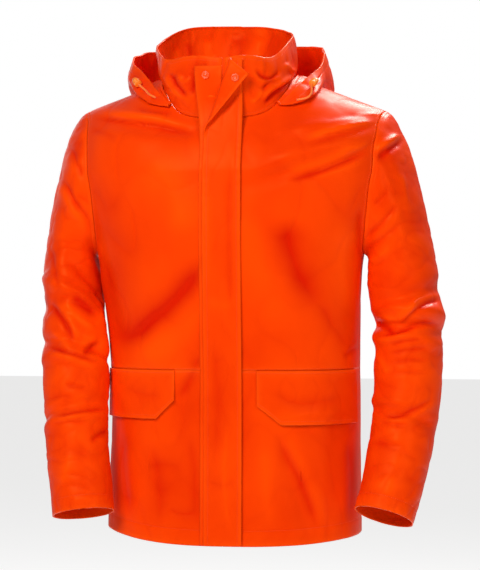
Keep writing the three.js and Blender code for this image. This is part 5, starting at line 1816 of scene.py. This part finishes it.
CORD_STARTS = {}
for side in ("right", "left"):
    degrees, share = LOCK_AT[side]["turn"], LOCK_AT[side]["share"]
    ahead = unit(hood_point(side, degrees + 2, share) - hood_point(side, degrees - 2, share))
    at = hood_point(side, degrees, share) + hood_normal(side, degrees, share) * LOCK_AT[side]["off"]
    at = at - ahead * LOCK["length"] / 2
    bm = bmesh.new()
    turned(bm, lock_profile(), 40)
    bmesh.ops.transform(bm, matrix=standing(at, ahead), verts=bm.verts)
    lock = plain_object(f"cord_lock_{side}_spring", bm, PLASTIC)
    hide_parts(f"cord_lock_{side}")
    CORD_STARTS[side] = at - ahead * 3 * TOUCH
print("locks:", sorted(CORD_STARTS))

# %% The cords
for side in ("right", "left"):
    path = [CORD_STARTS[side]]
    for row in CORD_PATHS[side]:
        normal = hood_normal(side, row["turn"], row["share"])
        path.append(hood_point(side, row["turn"], row["share"]) + normal * row["off"])
    line = through(np.array(path), CORD["steps"] + 1)
    ahead = unit(np.gradient(line, axis=0))
    first = unit(np.cross(ahead[0], [0, 0, 1.0]))
    frames = [first]
    for k in range(1, len(line)):
        turned_on = frames[-1] - ahead[k] * (frames[-1] @ ahead[k])
        frames.append(unit(turned_on))
    across = np.array(frames)
    upward = np.cross(ahead, across)
    bm = bmesh.new()
    bmesh.ops.create_grid(bm, x_segments=CORD["sides"], y_segments=CORD["steps"], size=0.5)
    run = np.concatenate([[0], np.cumsum(np.linalg.norm(np.diff(line, axis=0), axis=1))])
    for vert in bm.verts:
        turn = (vert.co.x + 0.5) * 2 * math.pi
        k = int(round((vert.co.y + 0.5) * CORD["steps"]))
        twist = run[k] / (CORD["radius"] * 2) * CORD["twist"]
        strands = abs(math.sin(3 * turn + twist)) + abs(math.sin(3 * turn - twist))
        radius = CORD["radius"] - CORD["braid"] + CORD["braid"] * strands
        vert.co = Vector(line[k] + (across[k] * math.cos(turn) + upward[k] * math.sin(turn)) * radius) * MM
    bmesh.ops.remove_doubles(bm, verts=bm.verts, dist=1e-7)
    bmesh.ops.holes_fill(bm, edges=[e for e in bm.edges if e.is_boundary], sides=0)
    bmesh.ops.recalc_face_normals(bm, faces=bm.faces)
    cord = plain_object(f"draw_cord_{side}_braid", bm, BRAID)
    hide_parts(f"draw_cord_{side}")
    [tuple(p * MM) for p in line[::6]]

# %% [markdown]
# ## The snaps
# A snap has a stud that clicks into a socket. The stud sits on the strip and the socket on the
# inner face of the flap, which the folded corner shows. Both are turned parts with a rolled rim.

# %% The snaps
FLAP_WALL = 1.5
STUD_AT = {"x": -28, "z": 4}
SOCKET_AT = {"x": -17, "z": 12}
STUD_PROFILE = [
    (0, 0), (6.0, 0), (6.4, 0.4), (6.4, 1.2), (6.1, 1.9), (5.4, 2.3), (4.8, 2.2), (4.3, 1.7), (3.6, 1.6),
    (3.0, 1.9), (2.6, 2.5), (2.5, 3.0), (1.9, 3.35), (0, 3.4),
]
SOCKET_PROFILE = [
    (0, 0), (6.0, 0), (6.4, 0.4), (6.4, 1.3), (6.0, 2.0), (5.2, 2.4), (4.3, 2.4), (3.6, 2.1), (3.3, 1.5),
    (3.0, 1.0), (0, 1.0),
]


def surface_normal(surface, x, z, step=0.2):
    x, z = np.array(float(x)), np.array(float(z))
    along = surface(x + step, z) - surface(x - step, z)
    up = surface(x, z + step) - surface(x, z - step)
    return unit(np.cross(along, up))


def strip_point(x, z):
    return front_point(x, z, SNAP_STRIP["out"])


for name, profile, surface, at, below in (
    ("snap_stud", STUD_PROFILE, strip_point, STUD_AT, False),
    ("snap_socket", SOCKET_PROFILE, storm_flap_point, SOCKET_AT, True),
):
    normal = surface_normal(surface, at["x"], at["z"]) * (-1 if below else 1)
    lift = TOUCH + (FLAP_WALL if below else 0)
    spot = surface(np.array(float(at["x"])), np.array(float(at["z"]))) + normal * lift
    bm = bmesh.new()
    turned(bm, profile, 36)
    bmesh.ops.transform(bm, matrix=standing(spot, normal), verts=bm.verts)
    part = plain_object(f"{name}_turned", bm, SNAP_PLASTIC)
    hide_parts(name)
print("snaps set")
